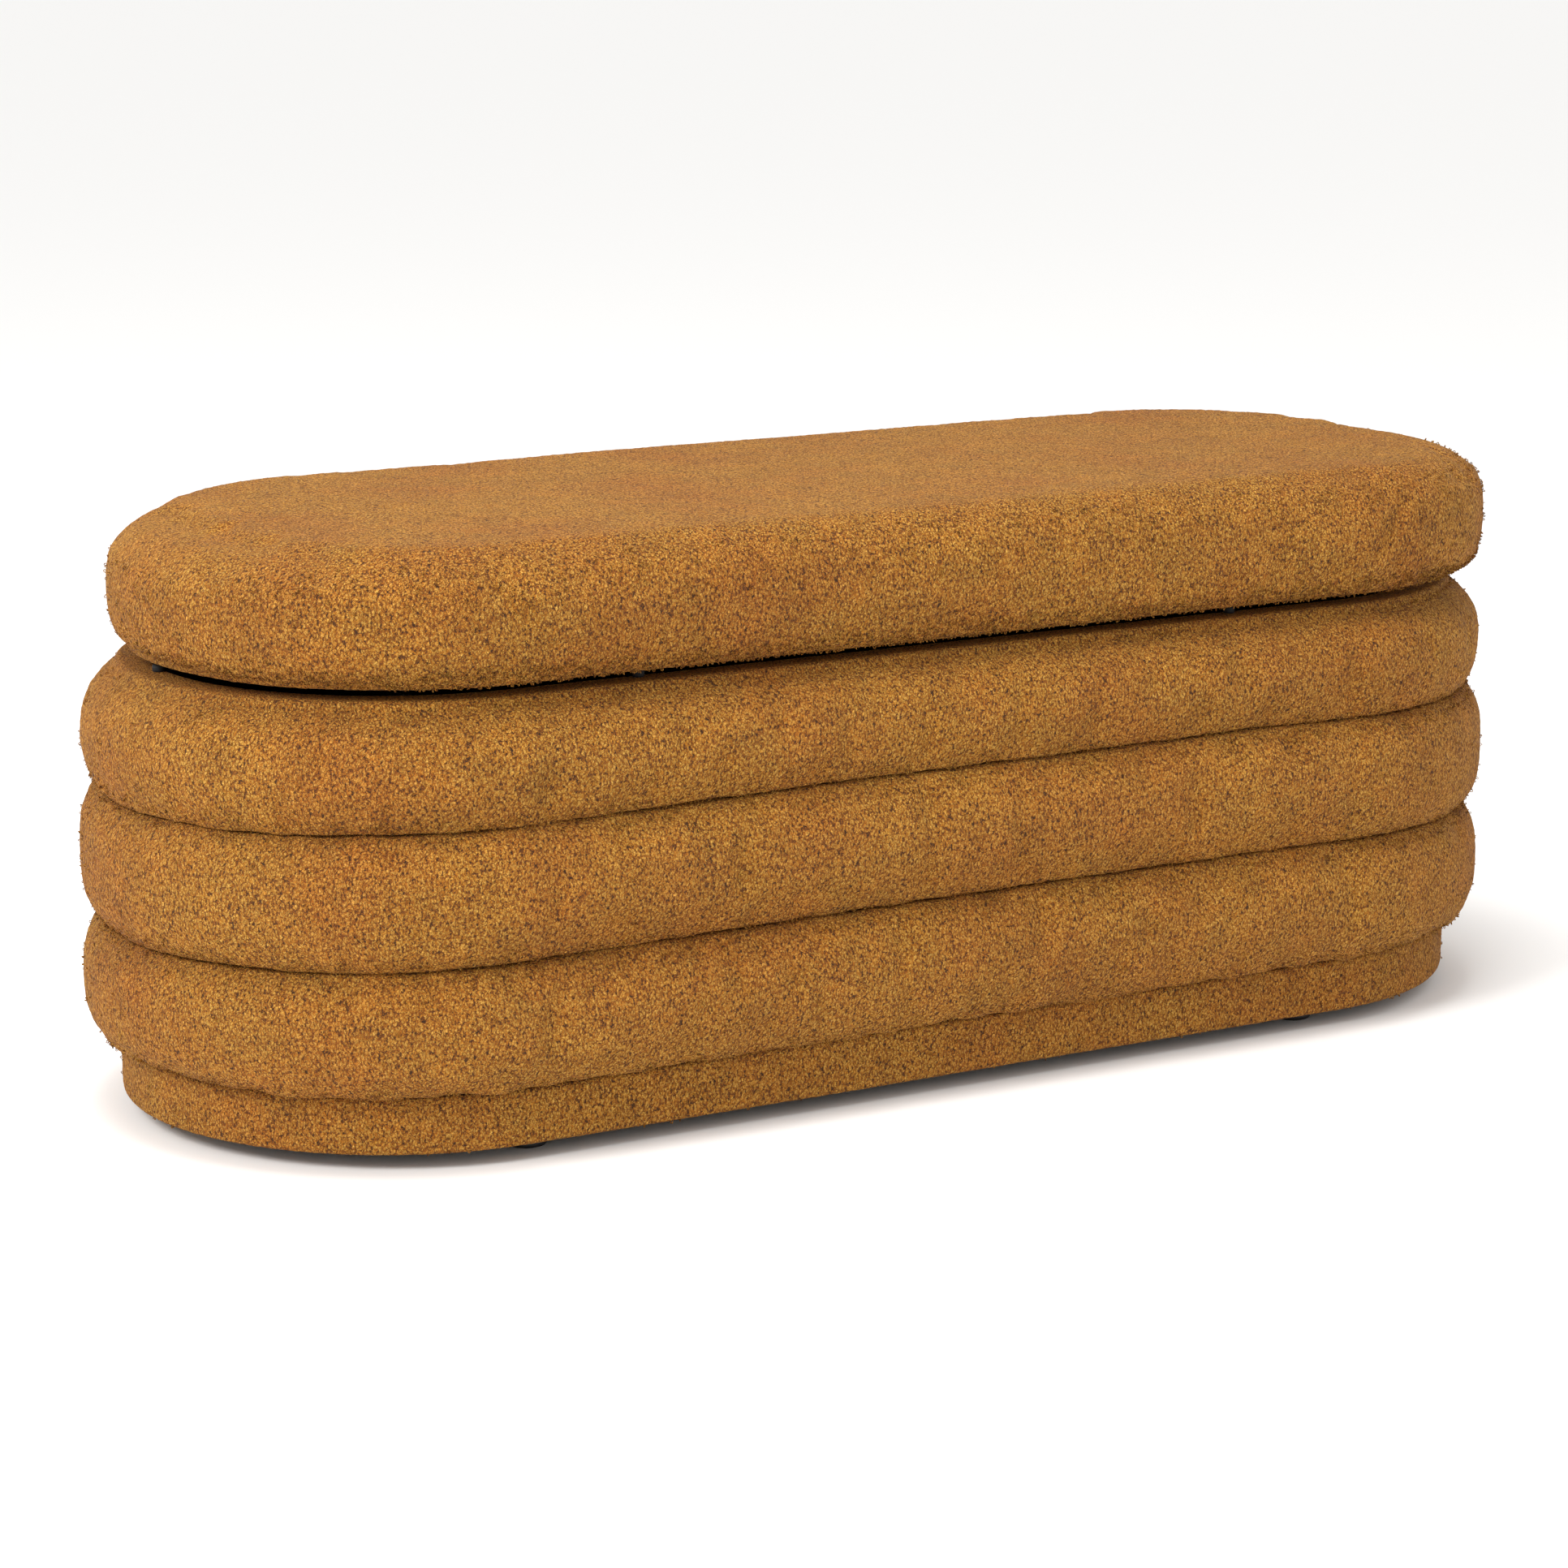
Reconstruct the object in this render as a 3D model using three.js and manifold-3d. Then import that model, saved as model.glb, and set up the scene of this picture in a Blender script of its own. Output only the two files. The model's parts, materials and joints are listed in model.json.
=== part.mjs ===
// Storage ottoman: an oval bench on an inset plinth, with a ring-shaped plywood box, three fat
// upholstered channels round it, and a padded lid hinged along the back that two stays hold open.
// Millimetres, +X along the bench, -Y to its front, +Z up, origin on the floor under the middle.
import * as THREE from "three";
import { mergeVertices } from "three/addons/utils/BufferGeometryUtils.js";
import Module from "manifold-3d";

const wasm = await Module();
wasm.setup();

// Driving dimensions
const benchLength = 1200;
const benchDepth = 480;
const glideHeight = 12;
const plinthHeight = 44;
const channelHeights = [96, 99, 93]; // lower, middle and upper upholstered channel
const lidGap = 4; // shadow gap between the lid and the box
const lidHeight = 100;
const lidInset = 12; // how far the lid's side stands back from the channels
const plinthInset = 29; // how far the plinth stands back from the channels
const clearance = 0.3; // between neighbouring pieces
const boardThickness = 12; // bent ply and plywood of the box
const clothThickness = 2;
const sheetThickness = 1.2; // non-woven lining and dust cover

// Plan of the bench: a straight middle with full round ends
const endRadius = benchDepth / 2;
const straightHalf = benchLength / 2 - endRadius;
const arcSegments = 12; // per round end

// Levels above the floor
const plinthBottom = glideHeight;
const channelBottom = plinthBottom + plinthHeight;
const rimTop = channelHeights.reduce((level, height) => level + height, channelBottom);
const lidBottom = rimTop + lidGap;
const panelBottom = plinthBottom + clothThickness;

// Distances outwards from the centre line of the plan
const plinthRadius = endRadius - plinthInset;
const panelOuter = plinthRadius - 5; // 3 mm of padding and 2 mm of cloth cover it
const panelInner = panelOuter - boardThickness;
const rimInner = panelOuter - 20; // the rim board's hole
const liningFace = rimInner + 0.4; // inner face of the fabric tub
const lidRadius = endRadius - lidInset;

// Lid hinges, on the straight back edge
const hingeAxisY = 211;
const hingeAxisZ = rimTop + lidGap / 2;
const hingePlaces = [-240, 0, 240];
const hingeWidth = 64;
const knuckleRadius = 3.6;
const hingePinRadius = 1.8;
const leafThickness = 1.2;
const leafFront = 189; // how far in the leaves reach
const middleKnuckleHalf = 14;

// Folding stays: body pivot, elbow and lid pivot make a parallelogram with the hinge axis
const stayPlaneX = 330;
const stayBodyPivot = { y: 172, z: rimTop - 50 };
const stayLidPivot = { y: 100, z: rimTop - 10 };
const stayElbow = {
  y: stayBodyPivot.y + stayLidPivot.y - hingeAxisY,
  z: stayBodyPivot.z + stayLidPivot.z - hingeAxisZ,
};
const armThickness = 2.5;
const armHalfWidth = 7;
const rivetRadius = 3;
const rivetHeadRadius = 5.5;
const rivetHeadHeight = 1.2;
const bracketThickness = 2;
const bracketEar = 11; // bracket metal round a pivot
const bracketFlange = 22;
const bracketFlangeHalf = 18;

// Where the feet stand
const footX = 345;
const footY = 172;
const footRadius = 15;
const nailRadius = 2;

// Rubber dots on the rim
const bumperRadius = 4.5;
const bumperX = 260;

function finish(color, roughness, metalness = 0) {
  return new THREE.MeshStandardMaterial({ color, roughness, metalness });
}

const finishes = {
  boucle: () => finish("#b07c3a", 0.95),
  foam: () => finish("#e6dcc0", 0.9),
  plywood: () => finish("#c9a877", 0.7),
  lining: () => finish("#2a2826", 0.95),
  steel: () => finish("#b4b6b8", 0.35, 0.9),
  plastic: () => finish("#121212", 0.55),
  rubber: () => finish("#1c1c1c", 0.85),
};

// Closed meshes and booleans

function solidOf(geometry) {
  const bare = geometry.clone();
  bare.deleteAttribute("normal");
  bare.deleteAttribute("uv");
  const merged = mergeVertices(bare, 1e-3);
  return new wasm.Manifold(
    new wasm.Mesh({
      numProp: 3,
      vertProperties: merged.attributes.position.array,
      triVerts: new Uint32Array(merged.index.array),
    }),
  );
}

function geometryOf(solid) {
  const mesh = solid.getMesh();
  const geometry = new THREE.BufferGeometry();
  geometry.setAttribute("position", new THREE.BufferAttribute(mesh.vertProperties, 3));
  geometry.setIndex(new THREE.BufferAttribute(mesh.triVerts, 1));
  geometry.computeVertexNormals();
  return geometry;
}

function cut(geometry, ...tools) {
  const carved = tools.reduce((left, tool) => left.subtract(solidOf(tool)), solidOf(geometry));
  return geometryOf(carved);
}

function join(first, ...others) {
  const joined = others.reduce((sum, other) => sum.add(solidOf(other)), solidOf(first));
  return geometryOf(joined);
}

// A box from its lowest and highest corners.
function block(low, high) {
  const size = high.map((value, axis) => value - low[axis]);
  const geometry = new THREE.BoxGeometry(...size);
  return geometry.translate(...low.map((value, axis) => value + size[axis] / 2));
}

// A cylinder from start to end along one axis.
function rod(axis, radius, start, end, centre, sides = 16) {
  const geometry = new THREE.CylinderGeometry(radius, radius, end - start, sides);
  if (axis === "x") geometry.rotateZ(Math.PI / 2);
  if (axis === "z") geometry.rotateX(Math.PI / 2);
  const middle = (start + end) / 2;
  const place = axis === "x" ? [middle, ...centre] : [...centre, middle];
  return geometry.translate(...place);
}

// Shapes on the oval plan

// Points of the oval that lies radius outwards from the centre line, counter-clockwise.
function ovalPoints(radius) {
  const points = [];
  for (const side of [1, -1]) {
    for (let step = 0; step <= arcSegments; step += 1) {
      const angle = (Math.PI * step) / arcSegments - Math.PI / 2;
      const x = side * (straightHalf + radius * Math.cos(angle));
      const y = side * radius * Math.sin(angle);
      points.push(new THREE.Vector2(x, y));
    }
  }
  return points;
}

// A flat board or sheet with an oval outline.
function ovalPlate(radius, bottom, top, holeRadius = 0) {
  const shape = new THREE.Shape(ovalPoints(radius));
  if (holeRadius > 0) shape.holes.push(new THREE.Path(ovalPoints(holeRadius).reverse()));
  const plate = new THREE.ExtrudeGeometry(shape, { depth: top - bottom, bevelEnabled: false });
  return plate.translate(0, 0, bottom);
}

function enclosedVolume(positions, indices) {
  const [a, b, c] = [new THREE.Vector3(), new THREE.Vector3(), new THREE.Vector3()];
  let volume = 0;
  for (let i = 0; i < indices.length; i += 3) {
    a.fromArray(positions, indices[i] * 3);
    b.fromArray(positions, indices[i + 1] * 3);
    c.fromArray(positions, indices[i + 2] * 3);
    volume += a.dot(b.cross(c)) / 6;
  }
  return volume;
}

// Sweeps a profile of [radius, height] points round the oval. A ring's profile closes on itself;
// any other one is capped flat at its first and last point.
function ovalSweep(profile, isRing) {
  const rings = profile.map(([radius]) => ovalPoints(radius));
  const around = rings[0].length;
  const positions = rings.flatMap((ring, row) =>
    ring.flatMap((point) => [point.x, point.y, profile[row][1]]),
  );
  const indices = [];
  const rows = isRing ? rings.length : rings.length - 1;
  for (let row = 0; row < rows; row += 1) {
    const next = (row + 1) % rings.length;
    for (let step = 0; step < around; step += 1) {
      const after = (step + 1) % around;
      const corners = [row * around + step, row * around + after];
      const above = [next * around + after, next * around + step];
      indices.push(corners[0], corners[1], above[0], corners[0], above[0], above[1]);
    }
  }
  if (!isRing) {
    const last = (rings.length - 1) * around;
    for (let step = 1; step < around - 1; step += 1) {
      indices.push(0, step + 1, step, last, last + step, last + step + 1);
    }
  }
  if (enclosedVolume(positions, indices) < 0) indices.reverse();
  const geometry = new THREE.BufferGeometry();
  geometry.setAttribute("position", new THREE.Float32BufferAttribute(positions, 3));
  geometry.setIndex(indices);
  geometry.computeVertexNormals();
  return geometry;
}

// Points of a quarter ellipse, from startAngle to endAngle in degrees.
function ellipseArc(centreRadius, centreHeight, across, up, startAngle, endAngle, steps) {
  const points = [];
  for (let step = 0; step <= steps; step += 1) {
    const turn = startAngle + ((endAngle - startAngle) * step) / steps;
    const angle = THREE.MathUtils.degToRad(turn);
    const radius = centreRadius + across * Math.cos(angle);
    points.push([radius, centreHeight + up * Math.sin(angle)]);
  }
  return points;
}

// The group and how a piece joins it

const ottoman = new THREE.Group();
ottoman.name = "storage_ottoman";

function addPiece(name, geometry, look) {
  const piece = new THREE.Mesh(geometry, finishes[look]());
  piece.name = name;
  ottoman.add(piece);
  return piece;
}

const footPlaces = [
  ["front_left", -footX, -footY],
  ["front_right", footX, -footY],
  ["back_left", -footX, footY],
  ["back_right", footX, footY],
];

// The plywood box

const turnoverRoom = 2.2; // under the cloth that rolls over the rim's edge
const rimBoardTop = rimTop - clothThickness - turnoverRoom;
const panelTop = rimBoardTop - boardThickness - clearance;
const floorTop = panelBottom + 14;
const nailHoleTop = floorTop + 1;

function addPanels() {
  for (const [name, side] of [["front_panel", -1], ["back_panel", 1]]) {
    const near = Math.min(side * panelInner, side * panelOuter);
    const low = [-straightHalf, near, panelBottom];
    const high = [straightHalf, near + boardThickness, panelTop];
    addPiece(name, block(low, high), "plywood");
  }
}

// Bent ply half ring that closes one end of the box.
function addEndShells() {
  const ring = ovalPlate(panelOuter, panelBottom, panelTop, panelInner);
  const reach = benchLength;
  const edge = straightHalf + clearance;
  const keepAway = (side) =>
    side > 0
      ? block([-reach, -reach, 0], [edge, reach, reach])
      : block([-edge, -reach, 0], [reach, reach, reach]);
  addPiece("end_shell_left", cut(ring, keepAway(-1)), "plywood");
  addPiece("end_shell_right", cut(ring, keepAway(1)), "plywood");
}

// Thin strips inside the box that join the straight panels to the bent ends.
function addSpliceStrips() {
  const stripHalf = 16;
  const stripThickness = 3;
  const face = panelInner - 2.5; // clears the start of the bent end
  for (const [name, x, y] of footPlaces) {
    const middle = Math.sign(x) * straightHalf;
    const near = y > 0 ? face - stripThickness : -face;
    const low = [middle - stripHalf, near, floorTop + clearance];
    const high = [middle + stripHalf, near + stripThickness, panelTop];
    addPiece(`splice_strip_${name}`, block(low, high), "plywood");
  }
}

function nailHole([, x, y]) {
  return rod("z", nailRadius + clearance, 0, nailHoleTop, [x, y], 12);
}

function addFloor() {
  const floor = ovalPlate(panelInner - clearance, panelBottom, floorTop);
  addPiece("floor_panel", cut(floor, ...footPlaces.map(nailHole)), "plywood");
  const sheetTop = panelBottom - clearance;
  const sheet = ovalPlate(panelInner, sheetTop - sheetThickness, sheetTop);
  addPiece("dust_cover", cut(sheet, ...footPlaces.map(nailHole)), "lining");
}

function addRim() {
  const bottom = rimBoardTop - boardThickness;
  addPiece("top_rim", ovalPlate(panelOuter, bottom, rimBoardTop, rimInner), "plywood");
}

// Fabric tub that lines the storage space.
function addLining() {
  const bottom = floorTop + clearance;
  const top = panelTop - clearance;
  const solid = ovalPlate(liningFace + sheetThickness, bottom, top);
  const space = ovalPlate(liningFace, bottom + sheetThickness, top + 1);
  addPiece("box_lining", cut(solid, space), "lining");
}

// Feet

function addFeet() {
  const nailTop = floorTop - 2;
  const nailBottom = glideHeight / 2;
  for (const place of footPlaces) {
    const [name, x, y] = place;
    const outline = [
      [0, 0],
      [footRadius - 2, 0],
      [footRadius, 2],
      [footRadius - 1, glideHeight],
      [0, glideHeight],
    ];
    const points = outline.map(([radius, height]) => new THREE.Vector2(radius, height));
    const turned = new THREE.LatheGeometry(points, 20).rotateX(Math.PI / 2).translate(x, y, 0);
    const socket = rod("z", nailRadius + clearance, nailBottom, glideHeight + 1, [x, y], 12);
    addPiece(`foot_${name}`, cut(turned, socket), "plastic");
    const nail = rod("z", nailRadius, nailBottom + clearance, nailTop, [x, y], 12);
    addPiece(`foot_nail_${name}`, nail, "steel");
  }
}

// Upholstery of the box

const seamDepth = 18; // how far a seam is pulled in from a channel's crown
const channelPower = 2.4; // fullness of a channel's bulge
const shoulderAcross = 45; // how far the top channel's shoulder rolls in
const lowestSeamDepth = plinthInset - 4;

// One channel's outer face from its lower seam to its upper one, as [radius, height] points.
function channelFace(bottom, top, lowerSeam, upperSeam) {
  const middle = (bottom + top) / 2;
  const half = (top - bottom) / 2;
  return [-1, -0.85, -0.4, 0.4, 0.85, 1].map((along) => {
    const fullness = (1 - Math.abs(along) ** channelPower) ** (1 / channelPower);
    const seam = along < 0 ? lowerSeam : upperSeam;
    return [endRadius - seam * (1 - fullness), middle + half * along];
  });
}

// The top channel's face: its upper half rolls over on to the rim.
function topChannelFace(bottom) {
  const crownHeight = (bottom + rimTop) / 2;
  const lower = channelFace(bottom, rimTop, seamDepth, seamDepth).slice(0, 3);
  const centre = [endRadius - shoulderAcross, crownHeight];
  const shoulder = ellipseArc(...centre, shoulderAcross, rimTop - crownHeight, 0, 90, 5);
  return [...lower, ...shoulder];
}

// Moves a face inwards by the cloth's thickness.
function underFace(face, depth) {
  return face.map(([radius, height], index) => {
    const before = face[Math.max(index - 1, 0)];
    const after = face[Math.min(index + 1, face.length - 1)];
    const along = [after[0] - before[0], after[1] - before[1]];
    const length = Math.hypot(...along);
    return [radius - (along[1] / length) * depth, height + (along[0] / length) * depth];
  });
}

// Keeps a profile's points between two heights.
function between(face, low, high) {
  return face.map(([radius, height]) => [radius, Math.min(Math.max(height, low), high)]);
}

// A channel's cloth and the foam behind it; the top one's cloth ends on the rim.
function addChannel(name, face, bottom, top, endsOnRim) {
  const clothBottom = bottom + clothThickness;
  const clothTop = top - clothThickness;
  const inner = between(underFace(face, clothThickness), clothBottom, clothTop);
  const tail = panelOuter + clearance;
  const topTail = endsOnRim ? rimInner + 1 : tail;
  const cover = [
    [tail, bottom],
    ...face,
    [topTail, top],
    [topTail, clothTop],
    ...inner.reverse(),
    [tail, clothBottom],
  ];
  addPiece(`${name}_cover`, ovalSweep(cover, true), "boucle");
  const padding = between(
    underFace(face, clothThickness + clearance),
    clothBottom + clearance,
    clothTop - clearance,
  ).filter(([radius]) => radius > tail);
  const foam = [
    [tail, padding[0][1]],
    ...padding,
    [tail, padding[padding.length - 1][1]],
  ];
  addPiece(`${name}_foam`, ovalSweep(foam, true), "foam");
}

function addChannels() {
  const names = ["lower_channel", "middle_channel", "upper_channel"];
  let seam = channelBottom;
  names.forEach((name, level) => {
    const bottom = seam + clearance / 2;
    seam += channelHeights[level];
    const top = seam - clearance / 2;
    const isTop = level === names.length - 1;
    const lowerSeam = level === 0 ? lowestSeamDepth : seamDepth;
    const face = isTop ? topChannelFace(bottom) : channelFace(bottom, top, lowerSeam, seamDepth);
    addChannel(name, face, bottom, isTop ? rimTop : top, isTop);
  });
}

// Plinth band: a thin padding and a cloth that turns under the box.
function addPlinth() {
  const top = channelBottom - clearance;
  const outer = plinthRadius;
  const inner = outer - clothThickness;
  const lip = panelInner + clearance;
  const cover = [
    [lip, plinthBottom],
    [outer - 3, plinthBottom],
    [outer, plinthBottom + 3],
    [outer, top],
    [inner, top],
    [inner, panelBottom - clearance],
    [lip, panelBottom - clearance],
  ];
  addPiece("plinth_cover", ovalSweep(cover, true), "boucle");
  const padOuter = inner - clearance;
  const padInner = panelOuter + clearance;
  addPiece("plinth_padding", ovalPlate(padOuter, panelBottom, top, padInner), "foam");
}

// Lid

const lidBoardRadius = 194;
const lidBoardBottom = lidBottom + 3.6;
const lidBoardTop = lidBoardBottom + 14;
const lidCrown = 44; // height of the lid's widest line above its underside
const lidLower = { across: 42, up: lidCrown }; // quarter ellipses of the lid's side
const lidUpper = { across: 58, up: lidHeight - lidCrown };
const lidLipRadius = 172;

function lidSide(inwards) {
  const crown = lidBottom + lidCrown;
  const side = lidRadius - inwards;
  const lower = [side - (lidLower.across - inwards), crown, lidLower.across - inwards];
  const upper = [side - (lidUpper.across - inwards), crown, lidUpper.across - inwards];
  return [
    ...ellipseArc(...lower, lidLower.up - inwards, -90, 0, 5),
    ...ellipseArc(...upper, lidUpper.up - inwards, 0, 90, 5).slice(1),
  ];
}

function addLidCover() {
  const outside = [[lidLipRadius, lidBottom], ...lidSide(0)];
  const inside = [[lidLipRadius, lidBottom + clothThickness], ...lidSide(clothThickness)];
  const shell = solidOf(ovalSweep(outside, false)).subtract(solidOf(ovalSweep(inside, false)));
  const mouth = ovalPlate(lidLipRadius, lidBottom - 1, lidBottom + clothThickness + 1);
  addPiece("lid_cover", geometryOf(shell.subtract(solidOf(mouth))), "boucle");
}

function addLidCore() {
  addPiece("lid_board", ovalPlate(lidBoardRadius, lidBoardBottom, lidBoardTop), "plywood");
  const inset = clothThickness + clearance;
  const recess = ovalPlate(lidBoardRadius + clearance, lidBottom - 1, lidBoardTop + clearance);
  addPiece("lid_foam", cut(ovalSweep(lidSide(inset), false), recess), "foam");
  const liningTop = lidBoardBottom - clearance;
  const sheet = ovalPlate(lidLipRadius - 1, liningTop - sheetThickness, liningTop);
  addPiece("lid_lining", sheet, "lining");
}

// Hinges

// A hinge half: a flat leaf joined to its knuckles, bored for the pin.
function hingeLeaf(centre, leafBottom, knuckles) {
  const low = centre - hingeWidth / 2;
  const high = centre + hingeWidth / 2;
  const axis = [hingeAxisY, hingeAxisZ];
  const leaf = block(
    [low, leafFront, leafBottom],
    [high, hingeAxisY - knuckleRadius - 0.6, leafBottom + leafThickness],
  );
  const rolls = knuckles.map(([start, end]) =>
    join(
      rod("x", knuckleRadius, centre + start, centre + end, axis),
      block(
        [centre + start, hingeAxisY - knuckleRadius - 1.5, leafBottom],
        [centre + end, hingeAxisY, leafBottom + leafThickness],
      ),
    ),
  );
  const bore = rod("x", hingePinRadius + clearance, low - 1, high + 1, axis, 12);
  return cut(join(leaf, ...rolls), bore);
}

function addHinges() {
  const half = hingeWidth / 2;
  const gap = middleKnuckleHalf + clearance;
  const bodyKnuckles = [[-half, -gap], [gap, half]];
  const lidKnuckles = [[-middleKnuckleHalf, middleKnuckleHalf]];
  hingePlaces.forEach((centre, index) => {
    const name = ["left", "middle", "right"][index];
    const bodyLeaf = hingeLeaf(centre, rimTop + clearance, bodyKnuckles);
    const lidLeaf = hingeLeaf(centre, lidBottom - clearance - leafThickness, lidKnuckles);
    addPiece(`hinge_body_leaf_${name}`, bodyLeaf, "steel");
    addPiece(`hinge_lid_leaf_${name}`, lidLeaf, "steel");
    const pinEnds = [centre - half - 1, centre + half + 1];
    const pin = rod("x", hingePinRadius, ...pinEnds, [hingeAxisY, hingeAxisZ], 12);
    addPiece(`hinge_pin_${name}`, pin, "steel");
  });
}

// Folding stays

// A flat arm in the YZ plane between two pivots, with a hole at each.
function stayArm(from, to, start, end) {
  const angle = Math.atan2(to.z - from.z, to.y - from.y);
  const outline = new THREE.Shape();
  const square = Math.PI / 2;
  outline.absarc(from.y, from.z, armHalfWidth, angle + square, angle + 3 * square);
  outline.absarc(to.y, to.z, armHalfWidth, angle - square, angle + square);
  outline.closePath();
  for (const pivot of [from, to]) {
    const hole = new THREE.Path();
    hole.absarc(pivot.y, pivot.z, rivetRadius + clearance, 0, 2 * Math.PI, true);
    outline.holes.push(hole);
  }
  const options = { depth: end - start, bevelEnabled: false, curveSegments: 8 };
  const arm = new THREE.ExtrudeGeometry(outline, options);
  const turnToYz = new THREE.Matrix4().makeBasis(
    new THREE.Vector3(0, 1, 0),
    new THREE.Vector3(0, 0, 1),
    new THREE.Vector3(1, 0, 0),
  );
  return arm.applyMatrix4(turnToYz).translate(start, 0, 0);
}

// A headed rivet along X whose shank spans start to end.
function rivet(pivot, start, end) {
  const outline = [
    [0, start - rivetHeadHeight],
    [rivetHeadRadius, start - rivetHeadHeight],
    [rivetHeadRadius, start],
    [rivetRadius, start],
    [rivetRadius, end],
    [rivetHeadRadius, end],
    [rivetHeadRadius, end + rivetHeadHeight],
    [0, end + rivetHeadHeight],
  ];
  const points = outline.map(([radius, along]) => new THREE.Vector2(radius, along));
  const turned = new THREE.LatheGeometry(points, 12).rotateZ(-Math.PI / 2);
  return turned.translate(0, pivot.y, pivot.z);
}

// One stay's pieces, stacked outwards from the bracket on the back wall towards the middle.
function addStay(name, side) {
  const layers = {
    bodyBracket: [0, bracketThickness],
    lowerArm: [bracketThickness + clearance, bracketThickness + clearance + armThickness],
  };
  const upperStart = layers.lowerArm[1] + clearance;
  layers.upperArm = [upperStart, upperStart + armThickness];
  const lidStart = layers.upperArm[1] + clearance;
  layers.lidBracket = [lidStart, lidStart + bracketThickness];
  // From a layer's distances to x, lowest first
  const spanOf = (layer) =>
    layer.map((depth) => side * (stayPlaneX - depth)).sort((a, b) => a - b);
  const wallFace = liningFace - clearance;

  const [bodyLow, bodyHigh] = spanOf(layers.bodyBracket);
  const bodyEar = block(
    [bodyLow, stayBodyPivot.y - bracketEar, stayBodyPivot.z - bracketEar],
    [bodyHigh, wallFace, stayBodyPivot.z + bracketEar],
  );
  const flangeOut = [bodyLow, bodyHigh, side * (stayPlaneX + bracketFlange)];
  const bodyFlange = block(
    [Math.min(...flangeOut), wallFace - bracketThickness, stayBodyPivot.z - bracketFlangeHalf],
    [Math.max(...flangeOut), wallFace, stayBodyPivot.z + bracketFlangeHalf],
  );
  const bodyHole = rod("x", rivetRadius + clearance, bodyLow - 1, bodyHigh + 1, [
    stayBodyPivot.y,
    stayBodyPivot.z,
  ]);
  addPiece(`stay_body_bracket_${name}`, cut(join(bodyEar, bodyFlange), bodyHole), "steel");

  const [lidLow, lidHigh] = spanOf(layers.lidBracket);
  const underLining = lidBoardBottom - 2 * clearance - sheetThickness;
  const lidEar = block(
    [lidLow, stayLidPivot.y - bracketEar, stayLidPivot.z - bracketEar + 2],
    [lidHigh, stayLidPivot.y + bracketEar, underLining],
  );
  const flangeEnd = stayPlaneX - layers.lidBracket[1] - bracketFlange;
  const flangeIn = [lidLow, lidHigh, side * flangeEnd];
  const lidFlange = block(
    [Math.min(...flangeIn), stayLidPivot.y - bracketFlangeHalf, underLining - bracketThickness],
    [Math.max(...flangeIn), stayLidPivot.y + bracketFlangeHalf, underLining],
  );
  // The open pivot: its rivet runs in a hole with extra play.
  const lidHole = rod("x", rivetRadius + clearance, lidLow - 1, lidHigh + 1, [
    stayLidPivot.y,
    stayLidPivot.z,
  ]);
  addPiece(`stay_lid_bracket_${name}`, cut(join(lidEar, lidFlange), lidHole), "steel");

  const lowerArm = stayArm(stayBodyPivot, stayElbow, ...spanOf(layers.lowerArm));
  addPiece(`stay_lower_arm_${name}`, lowerArm, "steel");
  const upperArm = stayArm(stayElbow, stayLidPivot, ...spanOf(layers.upperArm));
  addPiece(`stay_upper_arm_${name}`, upperArm, "steel");

  const rivets = [
    ["body", stayBodyPivot, layers.bodyBracket[0], layers.lowerArm[1]],
    ["elbow", stayElbow, layers.lowerArm[0], layers.upperArm[1]],
    ["lid", stayLidPivot, layers.upperArm[0], layers.lidBracket[1]],
  ];
  for (const [where, pivot, near, far] of rivets) {
    const [low, high] = spanOf([near, far]);
    addPiece(`stay_${where}_rivet_${name}`, rivet(pivot, low - clearance, high + clearance), "steel");
  }
}

// Rubber dots that the closed lid rests on.
function addBumpers() {
  const rimFlat = rimInner + bumperRadius + 0.5;
  const places = [
    ["front_left", -bumperX, -rimFlat],
    ["front_right", bumperX, -rimFlat],
    ["end_left", -straightHalf - rimFlat, 0],
    ["end_right", straightHalf + rimFlat, 0],
  ];
  for (const [name, x, y] of places) {
    const dot = rod("z", bumperRadius, rimTop + clearance, lidBottom - clearance, [x, y]);
    addPiece(`bumper_${name}`, dot, "rubber");
  }
}

addPanels();
addEndShells();
addSpliceStrips();
addFloor();
addRim();
addLining();
addFeet();
addPlinth();
addChannels();
addLidCore();
addLidCover();
addHinges();
addStay("left", -1);
addStay("right", 1);
addBumpers();

export default ottoman;
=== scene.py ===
import json
import math

import bmesh
import bpy
import numpy as np
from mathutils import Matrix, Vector, noise


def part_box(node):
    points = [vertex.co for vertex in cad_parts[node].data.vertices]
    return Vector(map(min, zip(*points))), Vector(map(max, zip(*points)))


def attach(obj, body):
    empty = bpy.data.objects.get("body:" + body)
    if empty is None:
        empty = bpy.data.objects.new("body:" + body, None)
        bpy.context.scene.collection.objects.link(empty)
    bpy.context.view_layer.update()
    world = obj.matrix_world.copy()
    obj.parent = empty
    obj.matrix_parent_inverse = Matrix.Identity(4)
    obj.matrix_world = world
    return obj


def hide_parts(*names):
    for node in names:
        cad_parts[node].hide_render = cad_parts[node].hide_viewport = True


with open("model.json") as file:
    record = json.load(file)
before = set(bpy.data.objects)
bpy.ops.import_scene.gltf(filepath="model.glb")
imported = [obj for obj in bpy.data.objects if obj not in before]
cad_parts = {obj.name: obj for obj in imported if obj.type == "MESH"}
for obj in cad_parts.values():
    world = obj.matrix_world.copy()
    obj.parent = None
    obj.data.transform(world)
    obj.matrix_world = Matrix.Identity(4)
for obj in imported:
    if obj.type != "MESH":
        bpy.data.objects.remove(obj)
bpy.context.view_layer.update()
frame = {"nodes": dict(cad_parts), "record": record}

mm = 0.001

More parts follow.
